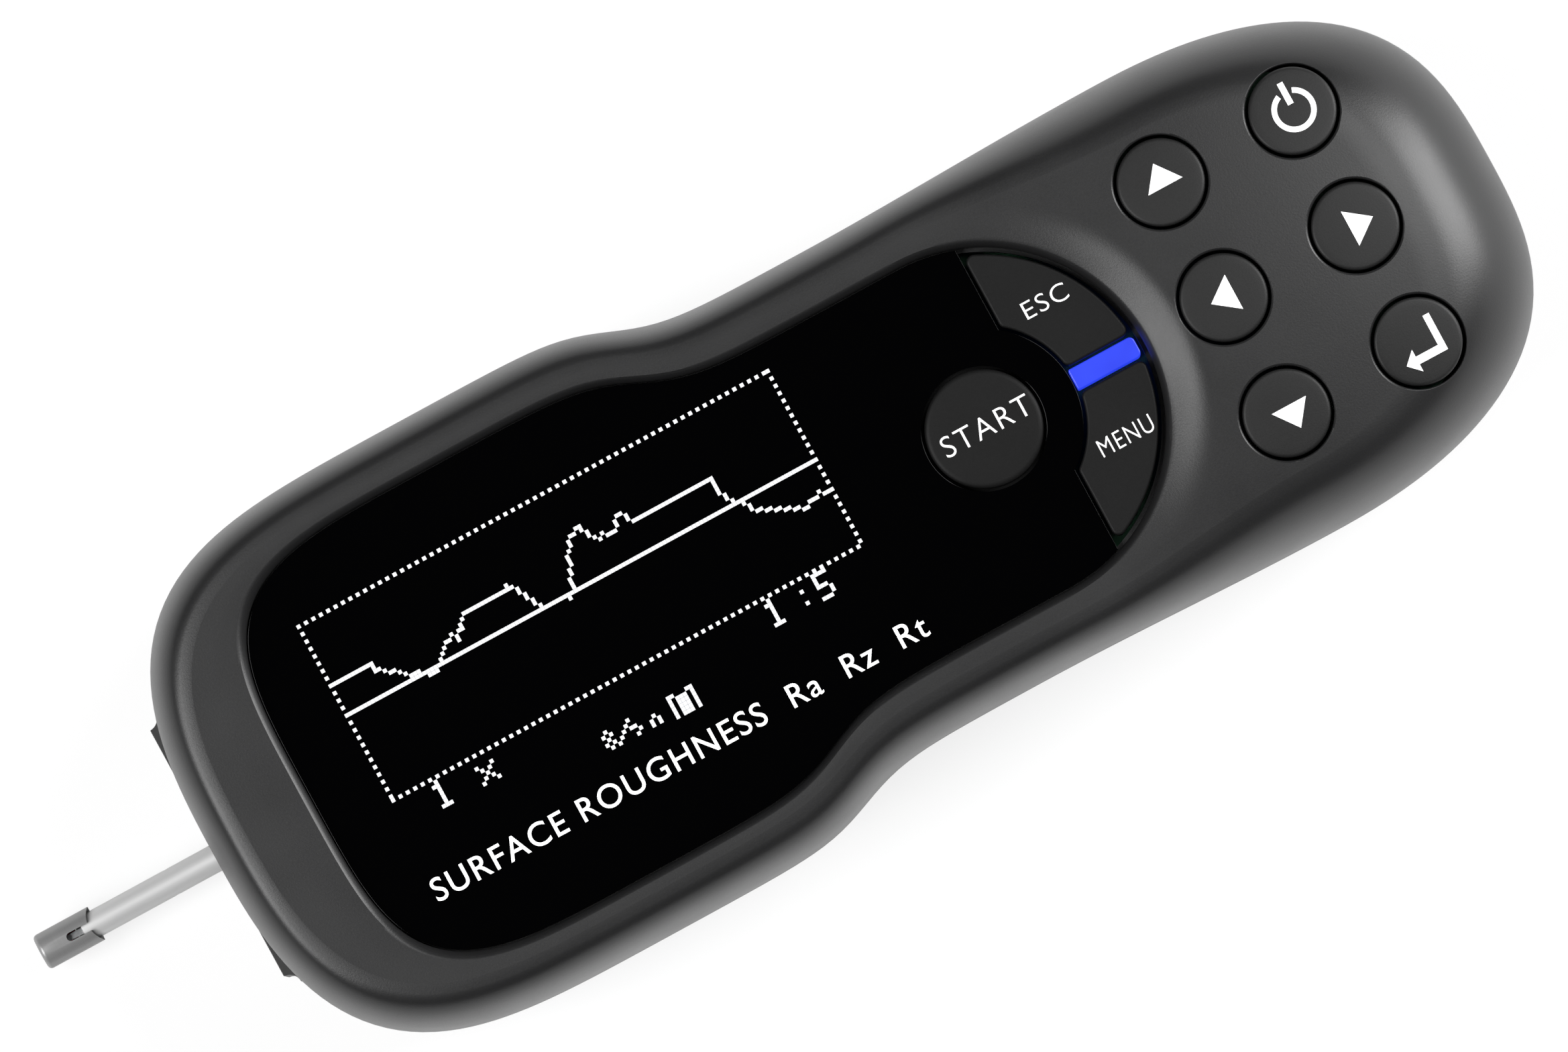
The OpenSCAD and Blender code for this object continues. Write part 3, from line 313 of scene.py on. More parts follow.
def paint(obj: Piece, finish: Look) -> None:
    """Gives a piece its finish, whose material is built once.

    Args:
        obj: The piece.
        finish: Its finish.
    """
    if finish.name not in MATERIALS:
        MATERIALS[finish.name] = finish.material()
    obj.data.materials.clear()
    obj.data.materials.append(MATERIALS[finish.name])


class Bench:
    """Modelling steps that all pieces share. Sizes are in millimetres."""

    weld: float = 0.0004
    node_weld: float = 0.001
    node_facet: float = 1.0
    on_skin: float = 0.002
    print_rise: float = 0.02
    print_root: float = 0.03
    print_cuts: int = 4
    letter_deep: float = 0.01
    letter_space: float = 1.12
    letter_steps: int = 6

    @staticmethod
    def clear() -> None:
        """Leaves edit mode and deselects everything."""
        if bpy.context.object and bpy.context.object.mode != "OBJECT":
            bpy.ops.object.mode_set(mode="OBJECT")
        bpy.ops.object.select_all(action="DESELECT")

    @classmethod
    def pick(cls, obj: Piece) -> None:
        """Makes one object the only selected and active one.

        Args:
            obj: The object.
        """
        cls.clear()
        obj.select_set(True)
        bpy.context.view_layer.objects.active = obj

    @classmethod
    def edit(cls, obj: Piece) -> None:
        """Opens a mesh in edit mode with all of it selected.

        Args:
            obj: The mesh object.
        """
        cls.pick(obj)
        bpy.ops.object.mode_set(mode="EDIT")
        bpy.ops.mesh.select_all(action="SELECT")

    @classmethod
    def apply(cls, obj: Piece, kind: str, **settings: Any) -> None:
        """Adds a modifier and applies it at once.

        Args:
            obj: The piece.
            kind: Blender's name of the modifier type.
            settings: Values of the modifier.
        """
        cls.pick(obj)
        bpy.ops.object.modifier_add(type=kind)
        step = obj.modifiers[-1]
        for key, value in settings.items():
            setattr(step, key, value)
        bpy.ops.object.modifier_apply(modifier=step.name)

    @staticmethod
    def points(obj: Piece) -> np.ndarray:
        """Reads the points of a mesh.

        Args:
            obj: The mesh object.

        Returns:
            One row of three for each point.
        """
        values = np.zeros(len(obj.data.vertices) * 3)
        obj.data.vertices.foreach_get("co", values)
        return values.reshape(-1, 3) / MM

    @staticmethod
    def put(obj: Piece, points: np.ndarray) -> None:
        """Moves the points of a mesh to new places."""
        obj.data.vertices.foreach_set("co", (points.reshape(-1, 3) * MM).ravel())
        obj.data.update()

    @classmethod
    def mend(cls, obj: Piece, fill: bool = False) -> None:
        """Merges doubles, closes open loops if asked and turns the faces outwards.

        Args:
            obj: The mesh object.
            fill: Whether open loops get a face.
        """
        cls.edit(obj)
        bpy.ops.mesh.remove_doubles(threshold=cls.weld * MM)
        if fill:
            bpy.ops.mesh.select_all(action="DESELECT")
            bpy.ops.mesh.select_mode(type="EDGE")
            bpy.ops.mesh.select_non_manifold()
            bpy.ops.mesh.edge_face_add()
        bpy.ops.mesh.select_all(action="SELECT")
        bpy.ops.mesh.normals_make_consistent(inside=False)
        bpy.ops.object.mode_set(mode="OBJECT")

    @classmethod
    def grid(cls, name: str, points: np.ndarray) -> Piece:
        """Adds a grid and moves its points to their places.

        Args:
            name: Name of the piece.
            points: Points, rows by columns by three.

        Returns:
            The new object.
        """
        rows, columns = points.shape[:2]
        cls.clear()
        bpy.ops.mesh.primitive_grid_add(x_subdivisions=columns - 1, y_subdivisions=rows - 1, size=1)
        obj = bpy.context.object
        obj.name = obj.data.name = name
        cls.put(obj, points)
        return obj

    @classmethod
    def sheet(cls, name: str, points: np.ndarray, fill: bool = False) -> Piece:
        """Shapes a grid into a skin. Rows that meet are merged.

        Args:
            name: Name of the piece.
            points: Points, rows by columns by three.
            fill: Whether open loops get a face.

        Returns:
            The new object.
        """
        obj = cls.grid(name, points)
        cls.mend(obj, fill)
        return obj

    @classmethod
    def revolve(
        cls, name: str, profile: Sequence[Spot], centre: Sequence[float],
        lean: Spot = (0.0, 0.0), steps: int = 96,
    ) -> Piece:
        """Turns a profile about an upright axis, sheared to lie on a sloped surface.

        Args:
            name: Name of the piece.
            profile: Radius and height of each point.
            centre: Place of the axis and of height zero.
            lean: Slope of the surface along X and Y.
            steps: Faces round the axis.

        Returns:
            The new object.
        """
        turn = np.linspace(0, 2 * math.pi, steps + 1)
        radius, height = np.array(profile, float).T
        x = np.cos(turn)[:, None] * radius
        y = np.sin(turn)[:, None] * radius
        z = np.broadcast_to(height, x.shape) + lean[0] * x + lean[1] * y
        return cls.sheet(name, np.stack([x, y, z], -1) + np.array(centre, float))

    @classmethod
    def prism(cls, name: str, outline: np.ndarray, low: float, high: float) -> Piece:
        """Extrudes a flat outline.

        Args:
            name: Name of the piece.
            outline: Points in plan.
            low: Height of the underside.
            high: Height of the top.

        Returns:
            The new object.
        """
        cls.clear()
        bpy.ops.mesh.primitive_circle_add(vertices=len(outline), radius=MM, fill_type="NGON")
        obj = bpy.context.object
        obj.name = obj.data.name = name
        cls.put(obj, np.column_stack([outline, np.full(len(outline), low)]))
        cls.edit(obj)
        rise = (0, 0, (high - low) * MM)
        bpy.ops.mesh.extrude_region_move(TRANSFORM_OT_translate={"value": rise})
        bpy.ops.object.mode_set(mode="OBJECT")
        cls.mend(obj)
        return obj

    @classmethod
    def carve(cls, obj: Piece, tool: Piece, operation: str = "DIFFERENCE") -> None:
        """Cuts a tool out of a piece or joins it to it, and removes the tool."""
        cls.apply(obj, "BOOLEAN", operation=operation, solver="EXACT", object=tool)
        bpy.data.objects.remove(tool)

    @classmethod
    def soften(cls, obj: Piece, width: float, segments: int = 3, angle: float = 40.0) -> None:
        """Bevels the edges that are sharper than an angle."""
        limit = {"limit_method": "ANGLE", "angle_limit": math.radians(angle)}
        cls.apply(obj, "BEVEL", width=width * MM, segments=segments, **limit)

    @classmethod
    def smooth(cls, obj: Piece, angle: float = 35.0) -> None:
        """Shades a piece smooth up to an angle, with large faces kept flat.

        Args:
            obj: The piece.
            angle: Sharpest edge that is still smoothed, in degrees.
        """
        cls.pick(obj)
        bpy.ops.object.shade_smooth_by_angle(angle=math.radians(angle))
        cls.apply(obj, "WEIGHTED_NORMAL", keep_sharp=True)

    @classmethod
    def twin(cls, obj: Piece) -> Piece:
        """Copies a piece with its own mesh.

        Args:
            obj: The piece.

        Returns:
            The copy.
        """
        cls.pick(obj)
        bpy.ops.object.duplicate()
        return bpy.context.object

    @classmethod
    def borrow(cls, obj: Piece, whole: Piece, spots: Sequence[Spot], reach: float) -> None:
        """Gives a cut piece the shading of the whole one round its cuts.

        Args:
            obj: The cut piece.
            whole: The same piece before it was cut. It is removed.
            spots: Middles of the cuts in plan.
            reach: How far from a middle the shading is taken over.
        """
        bpy.context.view_layer.update()
        middles = np.array(spots)
        skin = []
        for vertex in obj.data.vertices:
            apart = np.hypot(*(np.array(vertex.co[:2]) / MM - middles).T)
            if apart.min() < reach:
                point = whole.closest_point_on_mesh(vertex.co)[1]
                if (point - vertex.co).length < cls.on_skin * MM:
                    skin.append(vertex.index)
        group = obj.vertex_groups.new(name="round_cuts")
        group.add(skin, 1.0, "REPLACE")
        cls.apply(
            obj, "DATA_TRANSFER", object=whole, use_loop_data=True,
            data_types_loops={"CUSTOM_NORMAL"}, loop_mapping="POLYINTERP_NEAREST",
            vertex_group=group.name,
        )
        obj.vertex_groups.clear()
        bpy.data.objects.remove(whole)

    @classmethod
    def refined(cls, node: str, name: str, width: float, segments: int = 2) -> Piece:
        """Copies a node's mesh, merges it into faces and softens its edges.

        Args:
            node: Name of the node.
            name: Name of the new piece.
            width: Width of the softened edges.
            segments: Steps across a softened edge.

        Returns:
            The new object.
        """
        obj = bpy.data.objects.new(name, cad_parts[node].data.copy())
        bpy.context.scene.collection.objects.link(obj)
        cls.pick(obj)
        if obj.data.has_custom_normals:
            bpy.ops.mesh.customdata_custom_splitnormals_clear()
        cls.edit(obj)
        bpy.ops.mesh.remove_doubles(threshold=cls.node_weld * MM)
        bpy.ops.mesh.dissolve_limited(angle_limit=math.radians(cls.node_facet))
        bpy.ops.object.mode_set(mode="OBJECT")
        cls.soften(obj, width, segments)
        cls.smooth(obj)
        return obj

    @classmethod
    def words(
        cls, name: str, text: str, size: Spot, middle: Spot, level: Level, weight: float
    ) -> Piece:
        """Prints words on a surface as a thin raised mesh.

        Args:
            name: Name of the piece.
            text: The words.
            size: Width of the whole line and height of a capital.
            middle: Middle of the line in plan.
            level: Height of the surface at points in plan.
            weight: Growth of the strokes.

        Returns:
            The new object.
        """
        cls.clear()
        bpy.ops.object.text_add()
        letters = bpy.context.object.data
        letters.body = text
        letters.offset = weight
        letters.extrude = cls.letter_deep
        letters.resolution_u = cls.letter_steps
        letters.space_character = cls.letter_space
        bpy.ops.object.convert(target="MESH")
        obj = bpy.context.object
        obj.name = obj.data.name = name
        points = cls.points(obj)
        low, high = points.min(0), points.max(0)
        plan = (points[:, :2] - (low + high)[:2] / 2) / (high - low)[:2] * size + middle
        upper = points[:, 2] > (low[2] + high[2]) / 2
        lift = np.where(upper, cls.print_rise, -cls.print_root)
        cls.put(obj, np.column_stack([plan, level(plan) + lift]))
        cls.mend(obj)
        return obj

    @classmethod
    def decal(cls, name: str, outline: np.ndarray, level: Level) -> Piece:
        """Prints a flat shape on a surface as a thin raised mesh.

        Args:
            name: Name of the piece.
            outline: Points in plan.
            level: Height of the surface at points in plan.

        Returns:
            The new object.
        """
        obj = cls.prism(name, outline, -cls.print_root, cls.print_rise)
        cls.edit(obj)
        bpy.ops.mesh.quads_convert_to_tris()
        bpy.ops.mesh.subdivide(number_cuts=cls.print_cuts)
        bpy.ops.object.mode_set(mode="OBJECT")
        points = cls.points(obj)
        points[:, 2] += level(points[:, :2])
        cls.put(obj, points)
        return obj

    @staticmethod
    def settle(
        obj: Piece, body: str, finish: Look, slot: str, nodes: Iterable[str] = ()
    ) -> Piece:
        """Dresses a piece and ties it to its body.

        Args:
            obj: The finished piece.
            body: Body that carries it.
            finish: Its finish.
            slot: Material slot of the record; not used.
            nodes: Nodes that it stands for.

        Returns:
            The same object.
        """
        paint(obj, finish)
        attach(obj, body)
        for node in nodes:
            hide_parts(node)
        LOG.info("%s: %d faces on %s", obj.name, len(obj.data.polygons), body)
        return obj


def arc(centre: Spot, radius: float, start: float, end: float, steps: int) -> np.ndarray:
    """Points of an arc in plan, with the angles in degrees."""
    turn = np.radians(np.linspace(start, end, steps + 1))
    return np.column_stack([centre[0] + radius * np.cos(turn), centre[1] + radius * np.sin(turn)])


def disc(centre: Spot, radius: float, steps: int) -> np.ndarray:
    """Points of a full circle in plan."""
    return arc(centre, radius, 0, 360 - 360 / steps, steps - 1)


def flat(height: float) -> Level:
    """Level of a flat surface."""
    return lambda plan: np.full(len(plan), height)


@dataclass
class Form:
    """The rounded form of the housing. Stations run from its front, in millimetres."""

    body_len: float = 158.0
    head_w: float = 63.0
    waist_w: float = 53.4
    tail_w: float = 55.0
    body_h: float = 46.0
    split_z: float = 22.0
    wall: float = 2.2
    floor_t: float = 1.6
    # Fullness of the rounded ends, along and across, and of the rolled edges.
    nose_run: float = 40.0
    nose_pow: Spot = (4.0, 2.8)
    tail_run: float = 34.0
    tail_pow: Spot = (2.3, 2.9)
    edge_pow: Spot = (3.0, 2.4)
    base_pow: float = 2.6
    shoulder_s: float = 65.0
    shoulder_soft: float = 6.0
    # Insets at the nose, the flank, the keypad's flank and the tail.
    top_in: tuple[float, ...] = (4.5, 4.5, 7.0, 12.0)
    base_in: tuple[float, ...] = (6.5, 6.5, 6.5, 17.0)
    head_z: float = 44.6
    crown: float = 2.2
    tail_fall: float = 3.5
    window_z: float = 43.2
    ledge_z: float = 41.4
    under_z: float = 39.8
    lip_z: float = 44.55
    lip_run: float = 0.9
    lip_slope: float = 4.5
    window_s: float = 12.6
    window_head: float = 49.8
    window_waist: float = 39.0
    window_pow: float = 4.0
    window_gap: float = 0.15
    ring_s: float = 95.5
    waist_s: float = 88.0
    crest_s: float = 120.5
    seam: float = 0.35
    half_steps: int = 150
    dense_steps: int = 6000
    halvings: int = 24

    def __post_init__(self) -> None:
        """Spaces the loop evenly along the outline."""
        self.middle_s = self.body_len / 2
        self.tail_s = self.body_len - self.tail_run
        self.ring_r = self.window_waist / 2
        dense = np.linspace(0, 4, self.dense_steps + 1)
        path = self.side(dense, (0,) * 4)
        run = np.concatenate([[0], np.cumsum(np.hypot(*np.diff(path, axis=0).T))])
        half = np.interp(np.linspace(0, run[-1], self.half_steps + 1), run, dense)
        self.turn = np.concatenate([half, half[-2:0:-1]])
        sign = np.concatenate([np.ones(len(half)), -np.ones(len(half) - 2)])
        self.mirror = np.column_stack([np.ones_like(sign), sign])

    @staticmethod
    def ease(a: float, b: float, s: np.ndarray) -> np.ndarray:
        """Smooth step from a to b."""
        t = np.clip((s - a) / (b - a), 0, 1)
        return t * t * (3 - 2 * t)

    def fall(self, s: np.ndarray) -> np.ndarray:
        """Share of the head's width that is left at a station."""
        return 1 / (1 + np.exp(2 * (s - self.shoulder_s) / self.shoulder_soft))

    def half_w(self, s: np.ndarray) -> np.ndarray:
        """Half the width at a station.

        Args:
            s: Stations.

        Returns:
            Half widths.
        """
        head = (self.head_w - self.waist_w) / 2 * self.fall(s)
        tail = (self.tail_w - self.waist_w) / 2 * self.ease(self.waist_s, self.tail_s, s)
        return self.waist_w / 2 + head + tail

    def half_in(self, s: np.ndarray, inset: Sequence[float]) -> np.ndarray:
        """Half the width at a station, less the inset there."""
        pad = (inset[2] - inset[1]) * self.ease(self.ring_s, self.tail_s, s)
        return self.half_w(s) - (inset[1] + pad)

    def side(self, u: np.ndarray, inset: Sequence[float]) -> np.ndarray:
        """One side of the outline.

        Args:
            u: Way along the side: nose, flank, keypad flank and tail, one unit each.
            inset: How far the outline is drawn in at each of the four.

        Returns:
            Stations and half widths.
        """
        (nose_a, nose_b), (tail_a, tail_b) = self.nose_pow, self.tail_pow
        t = np.clip(u, 0, 1) * math.pi / 2
        q = np.clip(u - 3, 0, 1) * math.pi / 2
        nose = self.nose_run - (self.nose_run - inset[0]) * np.abs(np.cos(t)) ** (2 / nose_a)
        flank = self.nose_run + (self.ring_s - self.nose_run) * np.clip(u - 1, 0, 1)
        pad = self.ring_s + (self.tail_s - self.ring_s) * np.clip(u - 2, 0, 1)
        tail = self.tail_s + (self.tail_run - inset[3]) * np.sin(q) ** (2 / tail_a)
        s = np.where(u < 1, nose, np.where(u < 2, flank, np.where(u < 3, pad, tail)))
        front, rear = np.sin(t) ** (2 / nose_b), np.abs(np.cos(q)) ** (2 / tail_b)
        across = np.where(u < 1, front, np.where(u < 3, 1.0, rear))
        across = np.where(u >= 4, 0.0, across)
        return np.column_stack([s, self.half_in(s, inset) * across])

    def window_half(self, s: np.ndarray) -> np.ndarray:
        """Half the height of the window at a station."""
        head = (self.window_head - self.window_waist) / 2 * self.fall(s)
        return self.window_waist / 2 + head

    def window_side(self, u: np.ndarray, grow: float) -> np.ndarray:
        """One side of the window: rounded front, flank and an arc about the start key.

        Args:
            u: Way along the side, as for the outline.
            grow: How far the window is widened.

        Returns:
            Stations and half heights.
        """
        t, bend = np.clip(u, 0, 1) * math.pi / 2, 2 / self.window_pow
        s = self.nose_run - (self.nose_run - self.window_s + grow) * np.abs(np.cos(t)) ** bend
        nose = np.column_stack([s, (self.window_half(s) + grow) * np.sin(t) ** bend])
        p = self.side(u, (0,) * 4)
        flank = np.column_stack([p[:, 0], self.window_half(p[:, 0]) + grow])
        a = np.arctan2(p[:, 1], p[:, 0] - self.ring_s)
        r = self.ring_r + grow
        ring = np.column_stack([self.ring_s + r * np.cos(a), r * np.sin(a)])
        return np.where((u < 1)[:, None], nose, np.where((u < 2)[:, None], flank, ring))

    def outline(self, inset: Sequence[float]) -> np.ndarray:
        """The whole outline in stations."""
        return self.side(self.turn, inset) * self.mirror

    def window(self, grow: float) -> np.ndarray:
        """The whole window in stations."""
        return self.window_side(self.turn, grow) * self.mirror

    def top_z(self, p: np.ndarray) -> np.ndarray:
        """Height of the top inside its rolled edge.

        Args:
            p: Points in stations.

        Returns:
            Heights.
        """
        s, y = p[..., 0], p[..., 1]
        rise = self.ease(self.ring_s, self.crest_s, s)
        behind = np.maximum(0, s - self.crest_s) / (self.body_len - self.crest_s)
        bow = self.crown * rise * (y / self.half_w(s)) ** 2
        return self.head_z + (self.body_h - self.head_z) * rise - self.tail_fall * behind**2 - bow

    def fullness(self, s: np.ndarray) -> np.ndarray:
        """Fullness of the rolled edge at a station."""
        head, tail = self.edge_pow
        return head + (tail - head) * self.ease(self.ring_s, self.tail_s, s)

    def lift(self, p: np.ndarray, z: Any) -> np.ndarray:
        """Points in space from stations and heights."""
        return np.column_stack([p[:, 0] - self.middle_s, p[:, 1], np.broadcast_to(z, len(p))])

    def roll(
        self, a: np.ndarray, b: np.ndarray, za: Any, zb: Any, share: float, n: Any
    ) -> np.ndarray:
        """One row of a rolled edge.

        Args:
            a: Outline where the roll starts.
            b: Outline where it ends.
            za: Height at the start.
            zb: Height at the end.
            share: How far round the roll the row lies.
            n: Fullness of the roll.

        Returns:
            Points in space.
        """
        t, power = share * math.pi / 2, 2 / np.asarray(n, float)
        plan = 1 - abs(math.cos(t)) ** power if share < 1 else 1.0
        plan = np.reshape(plan, (-1, 1)) if np.ndim(plan) else plan
        return self.lift(a + (b - a) * plan, za + (zb - za) * math.sin(t) ** power)

    def shoulder(self, a: np.ndarray, b: np.ndarray, share: float, n: Any) -> np.ndarray:
        """One row of the top's rolled edge, which runs on smoothly from the crowned top.

        Args:
            a: Outline at the parting line.
            b: Outline at the top.
            share: How far round the roll the row lies.
            n: Fullness of the roll.

        Returns:
            Points in space.
        """
        row = self.roll(a, b, 0.0, 1.0, share, n)
        top = self.top_z(row[:, :2] + (self.middle_s, 0))
        row[:, 2] = self.split_z + (top - self.split_z) * row[:, 2]
        return row

    def keypad_z(self, x: float, y: float) -> float:
        """Height of the keypad at a point, rolled edge included, found by halving.

        Args:
            x: Place along the housing.
            y: Place across it.

        Returns:
            The height.
        """
        s = x + self.middle_s
        low, high = 0.0, 1.0
        for _ in range(self.halvings):
            mid = (low + high) / 2
            inset = tuple(mid * e for e in self.top_in)
            across = abs(y) / float(self.half_in(np.array(s), inset))
            along = max(0.0, s - self.tail_s) / (self.tail_run - inset[3])
            within = along ** self.tail_pow[0] + across ** self.tail_pow[1] < 1
            low, high = (mid, high) if within else (low, mid)
        n = float(self.fullness(np.array(s)))
        c = (1 - low) ** (n / 2)
        top = float(self.top_z(np.array([s, y])))
        return self.split_z + (top - self.split_z) * max(0.0, 1 - c * c) ** (1 / n)

    def slope(self, x: float, y: float, r: float) -> Spot:
        """Slope of the keypad along X and Y across a round key."""
        along = (self.keypad_z(x + r, y) - self.keypad_z(x - r, y)) / (2 * r)
        return along, (self.keypad_z(x, y + r) - self.keypad_z(x, y - r)) / (2 * r)


FORM = Form()
START_AT: Spot = (FORM.ring_s - FORM.middle_s, 0.0)


@dataclass
class Housing:
    """Upper and lower shell with the front plate between their ends."""

    pad_x: Spot = (46.0, 62.2)
    pad_y: float = 14.2
    hole_r: float = 5.15
    rim: float = 0.3
    rim_turns: tuple[float, ...] = (0, 25, 50, 75)
    hole_z: Spot = (-9.0, 4.0)
    hole_clear: Spot = (0.9, 0.7)
    shade_reach: float = 2.6
    crease: float = 32.0
    roll_steps: int = 16
    flat_steps: int = 26
    slope_steps: int = 10
    lip_steps: int = 4
    base_steps: int = 18
    inner_steps: tuple[int, int] = (5, 6)
    hole_steps: int = 72
    post_steps: int = 48
    bend_steps: int = 6
    slope_share: float = 0.6
    lip_pow: float = 1.6
    lip_root: float = 0.1
    sill: float = 0.3
    under_run: float = 1.2
    inner_ease: float = 0.4
    seam_rise: float = 0.02
    # Radius of a screw post and of its bore, and its station and inset from the flank.
    post: Spot = (3.0, 2.5)
    post_z: Spot = (1.0, 21.9)
    post_places: tuple[Spot, ...] = ((22.0, 8.2), (112.0, 8.2))
    well_top: float = 4.0
    well_edge: Spot = (0.5, 0.35)
    well_mouth: Spot = (3.6, -2.0)
    # Front, bend of the flare, root and end of the pocket for the front plate.
    plate_x: tuple[float, ...] = (-81.0, -78.8, -76.4, -73.8)
    plate_half: float = 15.4
    plate_z: Spot = (0.8, 19.55)
    plate_flare: float = 1.4
    plate_turn: float = -75.0
    plate_edge: float = 0.2
    mouth_x: Spot = (71.0, 80.0)
    mouth_z: Spot = (9.95, 14.35)
    mouth_half: float = 4.1
    mouth_r: float = 0.8

    def key_places(self) -> list[Spot]:
        """Middles of the round keys in plan."""
        return [(x, y) for x in self.pad_x for y in (self.pad_y, 0.0, -self.pad_y)]

    def upper(self) -> Piece:
        """Builds the upper shell with its window recess and key holes.

        Returns:
            The shell.
        """
        rows = [*self._top_rows(), *self._lip_rows(), *self._under_rows()]
        points = np.stack([*rows, rows[0]], 1)
        shell = Bench.sheet("upper_shell_skin", np.concatenate([points, points[:1]]))
        whole = Bench.twin(shell)
        Bench.smooth(whole, self.crease)
        for x, y in self.key_places():
            Bench.carve(shell, self._hole(x, y))
        Bench.smooth(shell, self.crease)
        Bench.borrow(shell, whole, self.key_places(), self.hole_r + self.shade_reach)
        return Bench.settle(shell, HOUSING, SHELL, "shell_black", ["upper_shell"])

    def _top_rows(self) -> list[np.ndarray]:
        """Rows from the parting line over the rolled edge and the top to the lip.

        Returns:
            One row of points for each step.
        """
        f = FORM
        foot, crest, lip = f.outline((0,) * 4), f.outline(f.top_in), f.window(f.lip_run)
        n = f.fullness(foot[:, 0])
        span = np.linalg.norm(lip - crest, axis=1)
        slope = np.minimum(f.lip_slope, self.slope_share * span) / span
        steps = range(self.roll_steps + 1)
        rows = [f.shoulder(foot, crest, k / self.roll_steps, n) for k in steps]
        for k in range(1, self.flat_steps + 1):
            p = crest + (lip - crest) * ((1 - slope) * k / self.flat_steps)[:, None]
            rows.append(f.lift(p, f.top_z(p)))
        for k in range(1, self.slope_steps + 1):
            q = k / self.slope_steps
            p = crest + (lip - crest) * (1 - slope * (1 - q))[:, None]
            top = f.top_z(p)
            rows.append(f.lift(p, top + (f.lip_z - top) * (1 - math.cos(q * math.pi / 2))))
        return rows

    def _lip_rows(self) -> list[np.ndarray]:
        """Rows of the lip, rounded at its upper edge, down to the ledge.

        Returns:
            One row of points for each step.
        """
        f = FORM
        drop = f.window_z + self.lip_root - f.lip_z
        rows = []
        for k in range(1, self.lip_steps + 1):
            t = k / self.lip_steps
            edge = f.window(f.lip_run + (f.window_gap - f.lip_run) * t)
            rows.append(f.lift(edge, f.lip_z + drop * t**self.lip_pow))
        return [*rows, f.lift(f.window(f.window_gap), f.ledge_z)]

    def _under_rows(self) -> list[np.ndarray]:
        """Rows of the ledge under the window and of the inner wall.

        Returns:
            One row of points for each step.
        """
        f = FORM
        n = f.fullness(f.outline((0,) * 4)[:, 0])
        ease = self.inner_ease
        wall = f.outline((f.wall,) * 4)
        roof = f.outline(tuple(max(f.wall + ease, e - ease) for e in f.top_in))
        sill = f.window(-self.sill)
        rows = [f.lift(sill, f.ledge_z), f.lift(sill, f.under_z)]
        rows.append(f.lift(f.window(self.under_run), f.under_z))
        steps = self.inner_steps[0]
        for k in range(steps, -1, -1):
            rows.append(f.roll(wall, roof, f.split_z, f.top_z(roof) - f.wall, k / steps, n))
        return rows

    def _hole(self, x: float, y: float) -> Piece:
        """Tool for one key hole, flared evenly where it meets the crowned surface.

        Args:
            x: Place along the housing.
            y: Place across it.

        Returns:
            The tool.
        """
        r, rim, (low, high) = self.hole_r, self.rim, self.hole_z
        bend = np.radians(self.rim_turns)
        flare = [(r + rim * (1 - math.cos(a)), rim * (math.sin(a) - 1)) for a in bend]
        wide, start = r + self.hole_clear[0], self.hole_clear[1]
        profile = [(0, low), (r, low), *flare, (wide, start), (wide, high), (0, high)]
        radius, height = np.array(profile, float).T
        middle = r + rim / 2
        ring = arc((x, y), middle, 0, 360, self.hole_steps)
        level = np.array([FORM.keypad_z(*spot) for spot in ring])
        plan = ((ring - (x, y)) / middle)[:, None, :] * radius[:, None] + (x, y)
        base = np.where(radius > 0, level[:, None], level.mean())
        points = np.concatenate([plan, (base + height)[..., None]], -1)
        return Bench.sheet("key_hole_tool", points)

    def lower(self) -> Piece:
        """Builds the lower shell with its seam, screw wells, charging mouth and front pocket.

        Returns:
            The shell.
        """
        f, n = FORM, FORM.base_pow
        rim, foot = f.outline((0,) * 4), f.outline(f.base_in)
        wall, roof = f.outline((f.wall,) * 4), f.outline([e + f.wall / 2 for e in f.base_in])
        seam, seam_z = f.outline((f.seam,) * 4), f.split_z - f.seam
        outer, inner = self.base_steps, self.inner_steps[1]
        rows = [f.roll(rim, foot, seam_z, 0.0, k / outer, n) for k in range(outer, -1, -1)]
        rows += [f.lift(seam, seam_z + self.seam_rise), f.lift(seam, f.split_z)]
        rows += [f.roll(wall, roof, f.split_z, f.floor_t, k / inner, n) for k in range(inner + 1)]
        points = np.stack(rows, 1)
        shell = Bench.sheet("lower_shell_skin", np.concatenate([points, points[:1]]), fill=True)
        self._posts(shell)
        Bench.carve(shell, Bench.prism("pocket_tool", self._plate_plan(), *self.plate_z))
        Bench.carve(shell, self._mouth())
        Bench.smooth(shell, self.crease)
        return Bench.settle(shell, HOUSING, BASE, "shell_black", ["lower_shell"])

    def _posts(self, shell: Piece) -> None:
        """Adds the screw posts to the lower shell and sinks their wells.

        Args:
            shell: The lower shell.
        """
        outer, bore = self.post
        edge, edge_z = self.well_edge
        spots = [
            (s - FORM.middle_s, sign * (float(FORM.half_w(np.array(s))) - inset))
            for s, inset in self.post_places
            for sign in (-1, 1)
        ]
        well = [
            (0, self.well_top), (bore, self.well_top), (bore, edge_z),
            (bore + edge, edge_z - edge), self.well_mouth, (0, self.well_mouth[1]),
        ]
        for spot in spots:
            tool = Bench.prism("post_tool", disc(spot, outer, self.post_steps), *self.post_z)
            Bench.carve(shell, tool, "UNION")
        for spot in spots:
            tool = Bench.revolve("well_tool", well, (*spot, 0), steps=self.post_steps)
            Bench.carve(shell, tool)

